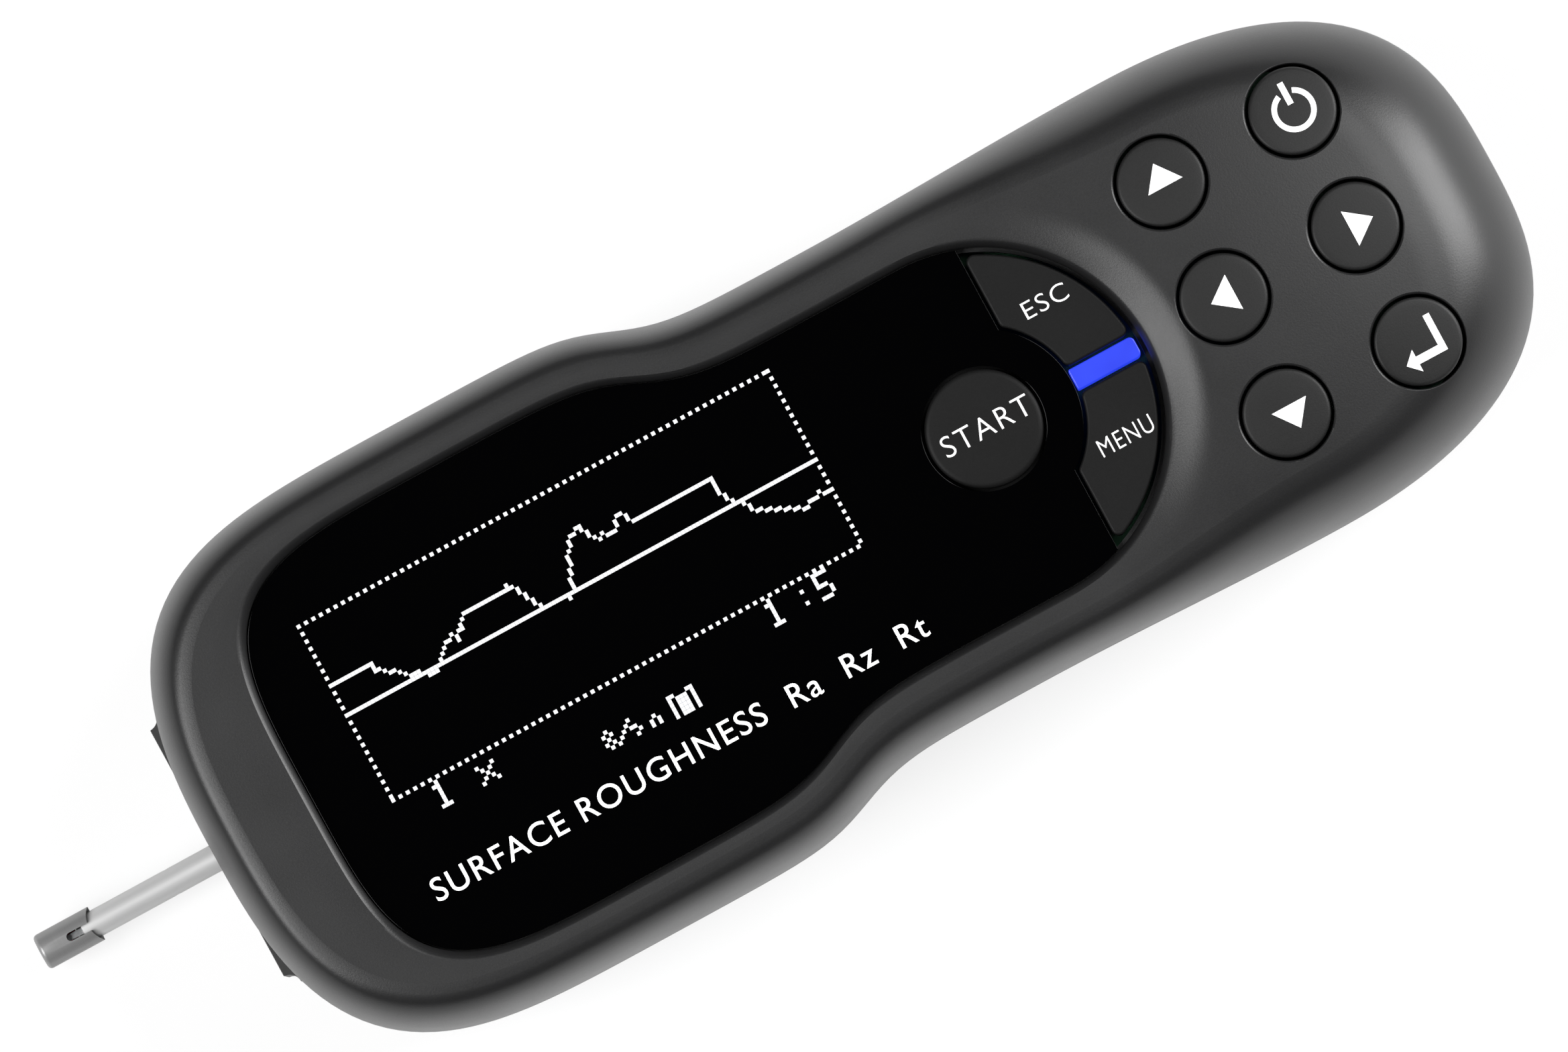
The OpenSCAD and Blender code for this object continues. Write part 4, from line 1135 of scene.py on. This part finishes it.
    def _plate_plan(self) -> np.ndarray:
        """Plan of the front plate's pocket: straight sides whose root flares into the housing.

        Returns:
            Points in plan.
        """
        front, bend, root, end = self.plate_x
        half, flare = self.plate_half, self.plate_flare
        curve = arc((bend, half + flare), flare, self.plate_turn, 0, self.bend_steps)
        plan = np.array([(front, half), *curve, (root, half + flare), (root, half), (end, half)])
        return np.concatenate([plan, plan[::-1] * (1, -1)])

    def _mouth(self) -> Piece:
        """Tool for the rounded mouth round the charging socket.

        Returns:
            The tool.
        """
        r, side = self.mouth_r, self.mouth_half - self.mouth_r
        low, high = self.mouth_z[0] + r, self.mouth_z[1] - r
        corners = ((side, high, 0), (-side, high, 90), (-side, low, 180), (side, low, 270))
        steps = self.bend_steps
        plan = np.concatenate([arc((y, z), r, a, a + 90, steps) for y, z, a in corners])
        tool = Bench.prism("mouth_tool", plan, *self.mouth_x)
        tool.data.transform(Matrix(((0, 0, 1, 0), (1, 0, 0, 0), (0, 1, 0, 0), (0, 0, 0, 1))))
        return tool

    def plate(self) -> Piece:
        """Dresses the front plate with softened edges."""
        obj = Bench.refined("front_plate", "front_plate_block", self.plate_edge)
        return Bench.settle(obj, HOUSING, PLATE, "plate_black", ["front_plate"])


@dataclass
class Window:
    """The black window panel with what shows on it."""

    low: float = FORM.ledge_z
    top: float = FORM.window_z
    edge: float = 0.06
    crease: float = 32.0
    ring_in: float = 10.8
    cut: float = 6.5
    cut_clear: float = 0.2
    ring_steps: int = 40
    start_r: float = 6.8
    start_steps: int = 96
    tool_over: float = 1.0
    # The display: its upper left corner, its pixels and the rows of its dotted frame.
    origin: Spot = (-59.0, 16.9)
    pitch: float = 0.4545
    columns: int = 128
    rows: int = 64
    frame_rows: int = 48
    mid_row: int = 24
    pixel_gap: float = 0.012
    pixel_rise: float = 0.012
    pixel_deep: float = 0.03
    legend_text: str = "SURFACE ROUGHNESS  Ra  Rz  Rt"
    legend_size: Spot = (60.6, 2.65)
    legend_at: Spot = (-29.4, -15.45)
    legend_weight: float = 0.004

    def panel(self) -> Piece:
        """Builds the panel, cut out for the start key and the side keys.

        Returns:
            The panel.
        """
        f = FORM
        half = f.window(0.0)[: f.half_steps + 1] - (f.middle_s, 0)
        x = START_AT[0] + self.cut
        keep = half[half[:, 0] < x - self.cut_clear]
        outer = math.sqrt(f.ring_r**2 - self.cut**2)
        bend = math.degrees(math.acos(self.cut / self.ring_in))
        rear = arc(START_AT, self.ring_in, bend, -bend, self.ring_steps)
        mirrored = keep[:0:-1] * (1, -1)
        outline = np.concatenate([keep, [(x, outer)], rear, [(x, -outer)], mirrored])
        panel = Bench.prism("window_panel", outline, self.low, self.top)
        hole, over = disc(START_AT, self.start_r, self.start_steps), self.tool_over
        Bench.carve(panel, Bench.prism("start_tool", hole, self.low - over, self.top + over))
        Bench.soften(panel, self.edge, 2)
        Bench.smooth(panel, self.crease)
        return Bench.settle(panel, HOUSING, GLASS, "window_gloss", ["display_window"])

    def _glyphs(self) -> set[tuple[int, int]]:
        """Lit pixels of the figures and small signs below the frame.

        Returns:
            Column and row of each.
        """
        shapes = {
            "1": ("..#", ".##", "..#", "..#", "..#", "..#", ".###"),
            "x": ("#...#", ".#.#.", "..#..", ".#.#.", "#...#"),
            ":": ("#", ".", ".", "#"),
            "5": ("####", "#", "#", "###.", "...#", "...#", "###."),
            "wave": (".#.....#..", "#.#...#...", ".#...#.##.", "#.#.#....#", ".#.#....#."),
            "n": (".#.", "#.#", "#.#"),
            "cell": ("##...##", "#.###.#", "#.###.#", "#.###.#", "#.###.#", "#.###.#"),
        }
        places = (
            ("1", 9, 48), ("x", 21, 50), ("1", 99, 48), (":", 109, 50),
            ("5", 113, 48), ("wave", 51, 57), ("n", 63, 59), ("cell", 69, 57),
        )
        return {
            (column + c, row + r)
            for name, column, row in places
            for r, line in enumerate(shapes[name])
            for c, mark in enumerate(line)
            if mark == "#"
        }

    def _trace(self) -> set[tuple[int, int]]:
        """Lit pixels of a made-up roughness profile in two runs.

        Returns:
            Column and row of each.
        """
        valley = (
            (1, 16), (11, 16), (11, 18), (13, 19), (15, 20), (18, 23), (20, 23), (22, 25),
            (24, 25), (26, 23), (28, 21), (29, 20), (31, 19), (32, 21), (33, 19), (34, 19),
            (35, 17), (36, 16), (48, 16), (48, 15), (50, 17), (53, 24),
        )
        ridge = (
            (60, 25), (61, 24), (62, 22), (63, 19), (66, 13), (68, 12), (69, 11), (70, 11),
            (71, 14), (73, 16), (74, 15), (75, 16), (77, 16), (78, 14), (79, 13), (80, 13),
            (82, 16), (103, 16), (103, 20), (105, 23), (107, 25), (109, 28), (111, 29),
            (114, 30), (117, 32), (120, 33), (124, 31), (126, 32),
        )
        lit: set[tuple[int, int]] = set()
        for run in (valley, ridge):
            for (c0, r0), (c1, r1) in zip(run, run[1:]):
                steps = max(abs(c1 - c0), abs(r1 - r0))
                for k in range(steps + 1):
                    t = k / steps
                    lit.add((round(c0 + (c1 - c0) * t), round(r0 + (r1 - r0) * t)))
        return lit

    def _lit(self) -> set[tuple[int, int]]:
        """All lit pixels of the display: dotted frame, middle line, profile and signs.

        Returns:
            Column and row of each.
        """
        right, last = self.columns - 1, self.frame_rows - 1
        dots = {(c, r) for c in range(0, self.columns, 2) for r in (0, last)}
        dots |= {(c, r) for r in range(0, self.frame_rows, 2) for c in (0, right)}
        line = {(c, self.mid_row) for c in range(1, right)}
        return dots | line | self._trace() | self._glyphs()

    def display(self) -> Piece:
        """Builds the lit pixels from a grid whose dark cells are removed.

        Returns:
            The pixels as one piece.
        """
        left, high = self.origin
        x = left + self.pitch * np.arange(self.columns + 1)
        y = high - self.pitch * np.arange(self.rows + 1)
        level = np.full((self.rows + 1, self.columns + 1), self.top + self.pixel_rise)
        obj = Bench.grid("display_pixels", np.stack([*np.meshgrid(x, y), level], -1))
        lit = self._lit()
        Bench.edit(obj)
        bpy.ops.mesh.select_mode(type="FACE")
        bpy.ops.mesh.select_all(action="DESELECT")
        bpy.ops.object.mode_set(mode="OBJECT")
        for face in obj.data.polygons:
            column = int((face.center.x / MM - left) / self.pitch)
            row = int((high - face.center.y / MM) / self.pitch)
            face.select = (column, row) not in lit
        bpy.ops.object.mode_set(mode="EDIT")
        bpy.ops.mesh.delete(type="FACE")
        bpy.ops.mesh.select_all(action="SELECT")
        bpy.ops.mesh.inset(thickness=self.pixel_gap * MM, use_individual=True)
        bpy.ops.mesh.select_all(action="INVERT")
        bpy.ops.mesh.delete(type="FACE")
        bpy.ops.mesh.select_all(action="SELECT")
        sink = (0, 0, -self.pixel_deep * MM)
        bpy.ops.mesh.extrude_region_move(TRANSFORM_OT_translate={"value": sink})
        bpy.ops.mesh.select_all(action="SELECT")
        bpy.ops.mesh.normals_make_consistent(inside=False)
        bpy.ops.object.mode_set(mode="OBJECT")
        return Bench.settle(obj, HOUSING, PIXEL, "display_glass")

    def legend(self) -> Piece:
        """Prints the line of roughness values below the display.

        Returns:
            The words as one piece.
        """
        obj = Bench.words(
            "value_legend", self.legend_text, self.legend_size, self.legend_at,
            flat(self.top), self.legend_weight,
        )
        return Bench.settle(obj, HOUSING, PRINT, "window_gloss")


@dataclass
class RingKeys:
    """Start key, the two side keys round it and the light bar between them."""

    low: float = 40.4
    top: float = 43.65
    start_r: float = 6.45
    # Rounding of the start key's edge: distance from the rim and drop.
    start_edge: tuple[Spot, ...] = ((2, 0.01), (0.6, 0.03), (0.3, 0.09), (0.1, 0.22), (0, 0.45))
    start_size: Spot = (10.6, 2.35)
    start_shift: Spot = (0.35, 0.15)
    start_sink: float = 0.005
    flange: Spot = (0.9, 0.8)
    inner: float = 11.15
    outer: float = 18.85
    cut: float = 6.85
    side: float = 1.55
    sector_steps: tuple[int, int] = (48, 24)
    corner: float = 0.8
    corner_steps: int = 6
    join: float = 8.0
    side_edge: float = 0.3
    side_capital: float = 1.95
    # Word, side, middle of the word and its width.
    side_words: tuple[tuple[str, int, Spot, float], ...] = (
        ("ESC", 1, (28.9, 9.0), 5.2),
        ("MENU", -1, (29.6, -8.0), 6.4),
    )
    stroke: float = -0.01
    # Near end, far end and half width of the light bar, from the start key's middle.
    bar: tuple[float, float, float] = (10.975, 18.85, 1.2)
    bar_low: float = 37.6
    bar_r: float = 0.6
    bar_edge: float = 0.15
    sharp: float = 60.0
    crease: float = 40.0

    def _word(self, text: str, size: Spot, middle: Spot, level: float) -> None:
        """Prints the word of a key.

        Args:
            text: The word.
            size: Its width and the height of a capital.
            middle: Its middle in plan.
            level: Height of the cap's top.
        """
        name = text.lower()
        word = Bench.words(f"{name}_word", text, size, middle, flat(level), self.stroke)
        Bench.settle(word, f"{name}_press", PRINT, "key_black")

    def start(self) -> Piece:
        """Builds the start key with its word.

        Returns:
            The key's cap.
        """
        r, foot = self.start_r, self.low
        wide, shelf = r + self.flange[0], foot + self.flange[1]
        edge = [(r - run, self.top - drop) for run, drop in self.start_edge]
        skirt = [(r, shelf), (wide, shelf), (wide, foot), (0, foot)]
        obj = Bench.revolve("start_cap", [(0, self.top), *edge, *skirt], (*START_AT, 0))
        Bench.smooth(obj, self.crease)
        Bench.settle(obj, "start_press", RING_CAP, "key_black", ["start_key"])
        middle = (START_AT[0] + self.start_shift[0], START_AT[1] + self.start_shift[1])
        self._word("START", self.start_size, middle, self.top - self.start_sink)
        return obj

    def _sector(self, sign: float) -> np.ndarray:
        """Plan of a side key with rounded corners.

        Args:
            sign: Side of the key.

        Returns:
            Points in plan.
        """
        r, out, inn = self.corner, self.outer - self.corner, self.inner + self.corner
        x, y, gap, steps = self.cut + r, self.side + r, self.join, self.corner_steps
        top, end = (x, math.sqrt(out**2 - x**2)), (math.sqrt(out**2 - y**2), y)
        foot, notch = (math.sqrt(inn**2 - y**2), y), (x, math.sqrt(inn**2 - x**2))
        turn = [math.degrees(math.atan2(p[1], p[0])) for p in (top, end, foot, notch)]
        plan = np.concatenate([
            arc((0, 0), self.outer, turn[1], turn[0], self.sector_steps[0]),
            arc(top, r, turn[0] + gap, 180, steps),
            arc(notch, r, 180, 180 - gap + turn[3], steps),
            arc((0, 0), self.inner, turn[3], turn[2], self.sector_steps[1]),
            arc(foot, r, 180 + gap + turn[2], 270, steps),
            arc(end, r, 270, 360 - gap + turn[1], steps),
        ])
        return plan * (1, sign) + START_AT

    def side_key(self, word: str, sign: float, middle: Spot, width: float) -> Piece:
        """Builds one side key with its word.

        Args:
            word: The printed word.
            sign: Side of the key.
            middle: Middle of the word in plan.
            width: Width of the word.

        Returns:
            The key's cap.
        """
        name = word.lower()
        obj = Bench.prism(f"{name}_cap", self._sector(sign), self.low, self.top)
        Bench.soften(obj, self.side_edge, 3, self.sharp)
        Bench.smooth(obj, self.crease)
        Bench.settle(obj, f"{name}_press", RING_CAP, "key_black", [f"{name}_key"])
        self._word(word, (width, self.side_capital), middle, self.top)
        return obj

    def light(self) -> Piece:
        """Builds the light bar with rounded outer corners.

        Returns:
            The bar.
        """
        near, far, half = self.bar
        r, x, y, steps = self.bar_r, far - self.bar_r, half - self.bar_r, self.corner_steps
        bend = [*arc((x, -y), r, -90, 0, steps), *arc((x, y), r, 0, 90, steps)]
        plan = np.array([(near, -half), *bend, (near, half)]) + START_AT
        obj = Bench.prism("light_bar_guide", plan, self.bar_low, self.top)
        Bench.soften(obj, self.bar_edge, 2, self.sharp)
        Bench.smooth(obj, self.crease)
        return Bench.settle(obj, HOUSING, LAMP, "lamp_blue", ["light_bar"])


@dataclass
class RoundKeys:
    """The six round keys of the keypad with their signs."""

    radius: float = 4.8
    proud: float = 0.125
    crown_r: float = 70.0
    crown_steps: int = 8
    edge: float = 0.4
    edge_turns: tuple[float, ...] = (20, 40, 60, 80, 90)
    deep: float = 3.4
    cap_steps: int = 72
    crease: float = 40.0
    # The signs, about the middle of a key.
    arrow: tuple[Spot, ...] = ((-2.1, -0.65), (2.1, -0.65), (0, 2.15))
    power_r: Spot = (2.45, 1.85)
    power_gap: float = 22.0
    power_steps: int = 60
    power_bar: tuple[float, float, float] = (0.34, 0.7, 3.3)
    power_shift: float = 0.2
    enter: tuple[Spot, ...] = (
        (-2.4, -1.78), (-1.05, -3.1), (-1.05, -2.23), (2.45, -2.23), (2.45, 2.2),
        (1.69, 2.2), (1.69, -1.33), (-1.05, -1.33), (-1.05, -0.46),
    )

    def cap(self, sign: KeySign, x: float, y: float) -> Piece:
        """Builds one key and prints its sign.

        Args:
            sign: What is printed on it.
            x: Place along the housing.
            y: Place across it.

        Returns:
            The key's cap.
        """
        r, e, name = self.radius, self.edge, sign.value
        z = FORM.keypad_z(x, y) + self.proud
        lean = FORM.slope(x, y, r)
        steps = np.linspace(0, r - e, self.crown_steps)
        crown = [(q, -q * q / (2 * self.crown_r)) for q in steps]
        drop = crown[-1][1]
        bend = np.radians(self.edge_turns)
        rim = [(r - e + e * math.sin(a), drop - e * (1 - math.cos(a))) for a in bend]
        profile = [*crown, *rim, (r, -self.deep), (0, -self.deep)]
        obj = Bench.revolve(f"{name}_cap", profile, (x, y, z), lean, self.cap_steps)
        Bench.smooth(obj, self.crease)
        Bench.settle(obj, f"{name}_press", CAP, "key_black", [f"{name}_key"])

        def level(plan: np.ndarray) -> np.ndarray:
            """Height of the crowned cap."""
            d = plan - (x, y)
            return z + d @ np.array(lean) - (d**2).sum(1) / (2 * self.crown_r)

        for part, outline in enumerate(self._sign(sign)):
            mark = Bench.decal(f"{name}_sign_{part}", outline + (x, y), level)
            Bench.settle(mark, f"{name}_press", PRINT, "key_black")
        return obj

    def _sign(self, sign: KeySign) -> list[np.ndarray]:
        """Outlines of a sign about the middle of its key.

        Args:
            sign: The sign.

        Returns:
            One outline for each part of it.
        """
        turns = {
            KeySign.UP: (0, 0.22),
            KeySign.LEFT: (90, 0.6),
            KeySign.DOWN: (180, 0.6),
            KeySign.RIGHT: (270, 0.0),
        }
        if sign in turns:
            turn, shift = turns[sign]
            c, s = math.cos(math.radians(turn)), math.sin(math.radians(turn))
            return [np.array(self.arrow) @ np.array(((c, s), (-s, c))) + (shift, 0)]
        if sign is KeySign.ENTER:
            return [np.array(self.enter)]
        (outer, inner), (half, low, high) = self.power_r, self.power_bar
        first, last, steps = 90 + self.power_gap, 450 - self.power_gap, self.power_steps
        there, back = arc((0, 0), outer, first, last, steps), arc((0, 0), inner, last, first, steps)
        bar = np.array([(-half, low), (half, low), (half, high), (-half, high)])
        return [part + (self.power_shift, 0) for part in (np.concatenate([there, back]), bar)]


@dataclass
class Pickup:
    """Tube and nose sleeve of the pickup."""

    tube_edge: float = 0.05
    sleeve_edge: float = 0.06

    def build(self) -> None:
        """Dresses the parts that show in front of the housing."""
        tube = Bench.refined("probe_tube", "pickup_tube", self.tube_edge)
        Bench.settle(tube, PICKUP, TUBE, "tube_steel", ["probe_tube"])
        nose = Bench.refined("probe_nose", "pickup_sleeve", self.sleeve_edge)
        Bench.settle(nose, PICKUP, SLEEVE, "nose_steel", ["probe_nose"])


@dataclass
class Inside:
    """Finishes of the nodes that stay as they are."""

    finishes: tuple[tuple[Finish, str], ...] = (
        (ZINC, "plate_screws case_screws board_screws charge_screws frame_screws"),
        (PANEL, "display_module"),
        (RESIST, "main_board charge_board"),
        (CHIP, "board_chips"),
        (SWITCH, "key_switches indicator_lamp"),
        (FOIL, "battery"),
        (SHEET, "charge_socket"),
        (CAST, "drive_frame"),
        (STEEL, "drive_motor motor_shaft lead_screw guide_rods pivot_pin stylus_arm stylus_tip"),
        (BRONZE, "screw_bearing carriage_bushes"),
        (BRASS, "shaft_coupling drive_nut"),
        (MOULD, "carriage probe_socket probe_plug"),
        (RUBY, "probe_skid"),
    )

    def dress(self) -> None:
        """Gives every other node its material."""
        for finish, nodes in self.finishes:
            for node in nodes.split():
                paint(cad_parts[node], finish)
                LOG.info("%s: dressed as %s", node, finish.name)


@dataclass(frozen=True)
class SoftBox:
    """A soft box that faces the tester, in metres and watts."""

    name: str
    place: tuple[float, float, float]
    size: Spot
    power: float
    aim: tuple[float, float, float] = (0, 0, 0.03)

    def hang(self) -> None:
        """Adds the lamp and turns it to the tester."""
        Bench.clear()
        bpy.ops.object.light_add(type="AREA", location=self.place)
        lamp = bpy.context.object
        lamp.name = self.name
        lamp.data.shape = "RECTANGLE"
        lamp.data.size, lamp.data.size_y = self.size
        lamp.data.energy = self.power
        towards = Vector(self.aim) - Vector(self.place)
        lamp.rotation_euler = towards.to_track_quat("-Z", "Y").to_euler()


@dataclass
class Studio:
    """Floor, light and camera. The target and the floor's drop are in millimetres."""

    turn: float = 28.6
    lean: float = 1.5
    target: tuple[float, float, float] = (-7.5, 1.68, 22.0)
    distance: float = 3.0
    sensor: float = 36.0
    image_w: int = 2338
    pixels_per_mm: float = 13.7
    sky: float = 0.03
    floor_size: float = 6.0
    floor_drop: float = 0.05
    floor_shade: float = 0.82
    floor_glow: float = 1.04
    floor_share: float = 0.75
    boxes: tuple[SoftBox, ...] = (
        SoftBox("front_overhead", (-0.52, 0.1, 1.0), (0.5, 0.34), 6.5),
        SoftBox("rear_overhead", (0.52, 0.1, 1.0), (0.5, 0.34), 5.0),
        SoftBox("tail_box", (0.88, 0.0, 0.34), (0.4, 0.8), 15.0),
        SoftBox("front_box", (-0.72, 0.0, 0.62), (0.5, 0.3), 6.0),
    )

    def floor(self) -> None:
        """Lays a plain pale floor that keeps a soft shadow."""
        Bench.clear()
        drop = (0, 0, -self.floor_drop * MM)
        bpy.ops.mesh.primitive_plane_add(size=self.floor_size, location=drop)
        obj = bpy.context.object
        obj.name = "floor"
        net = Net.named("pale_floor")
        kinds = ("Is Camera Ray", "Is Glossy Ray", "Is Transmission Ray")
        ray, gloss, through = (net.add("ShaderNodeLightPath", {}, {}, kind) for kind in kinds)
        plain = net.add("ShaderNodeBsdfDiffuse", {}, {"Color": (*grey(self.floor_shade), 1)})
        glow = {"Color": (*grey(1.0), 1), "Strength": self.floor_glow}
        white = net.add("ShaderNodeEmission", {}, glow)
        share = (ray + gloss + through) * self.floor_share
        mix = net.add("ShaderNodeMixShader", {}, {0: share, 1: plain, 2: white})
        obj.data.materials.append(net.close(mix))

    def light(self) -> None:
        """Sets a dim sky and four soft boxes round the gap over the window."""
        world = bpy.data.worlds.new("studio_sky")
        bpy.context.scene.world = world
        net = Net(world)
        seen = net.add("ShaderNodeLightPath", {}, {}, "Is Camera Ray")
        strength = seen * (1.0 - self.sky) + self.sky
        sky = {"Color": (*grey(1.0), 1), "Strength": strength}
        net.close(net.add("ShaderNodeBackground", {}, sky))
        for box in self.boxes:
            box.hang()

    def camera(self) -> None:
        """Hangs a long lens over the tester, turned as the photograph is."""
        a, tilt = math.radians(self.turn), math.radians(self.lean)
        back = Vector((0, -math.sin(tilt), math.cos(tilt)))
        right = Vector((math.cos(a), -math.sin(a), 0))
        right = (right - right.dot(back) * back).normalized()
        up = back.cross(right)
        Bench.clear()
        bpy.ops.object.camera_add()
        cam = bpy.context.object
        cam.name = "view"
        cam.data.sensor_width = self.sensor
        cam.data.lens = self.distance * self.sensor / (self.image_w / self.pixels_per_mm * MM)
        spot = Vector(self.target) * MM + back * self.distance
        turned = Matrix((right, up, back)).transposed().to_4x4()
        cam.matrix_world = Matrix.Translation(spot) @ turned
        bpy.context.scene.camera = cam
        bpy.context.scene.view_settings.view_transform = "Standard"


def main() -> None:
    """Builds the pieces in order."""
    logging.basicConfig(level=logging.INFO, format="%(message)s")
    housing = Housing()
    housing.upper()
    housing.lower()
    housing.plate()
    window = Window()
    window.panel()
    window.display()
    window.legend()
    ring = RingKeys()
    ring.start()
    for word, side, middle, width in ring.side_words:
        ring.side_key(word, side, middle, width)
    ring.light()
    keys = RoundKeys()
    for sign, (x, y) in zip(KeySign, housing.key_places()):
        keys.cap(sign, x, y)
    Pickup().build()
    Inside().dress()
    studio = Studio()
    studio.floor()
    studio.light()
    studio.camera()
    Bench.clear()


if __name__ == "__main__":
    main()
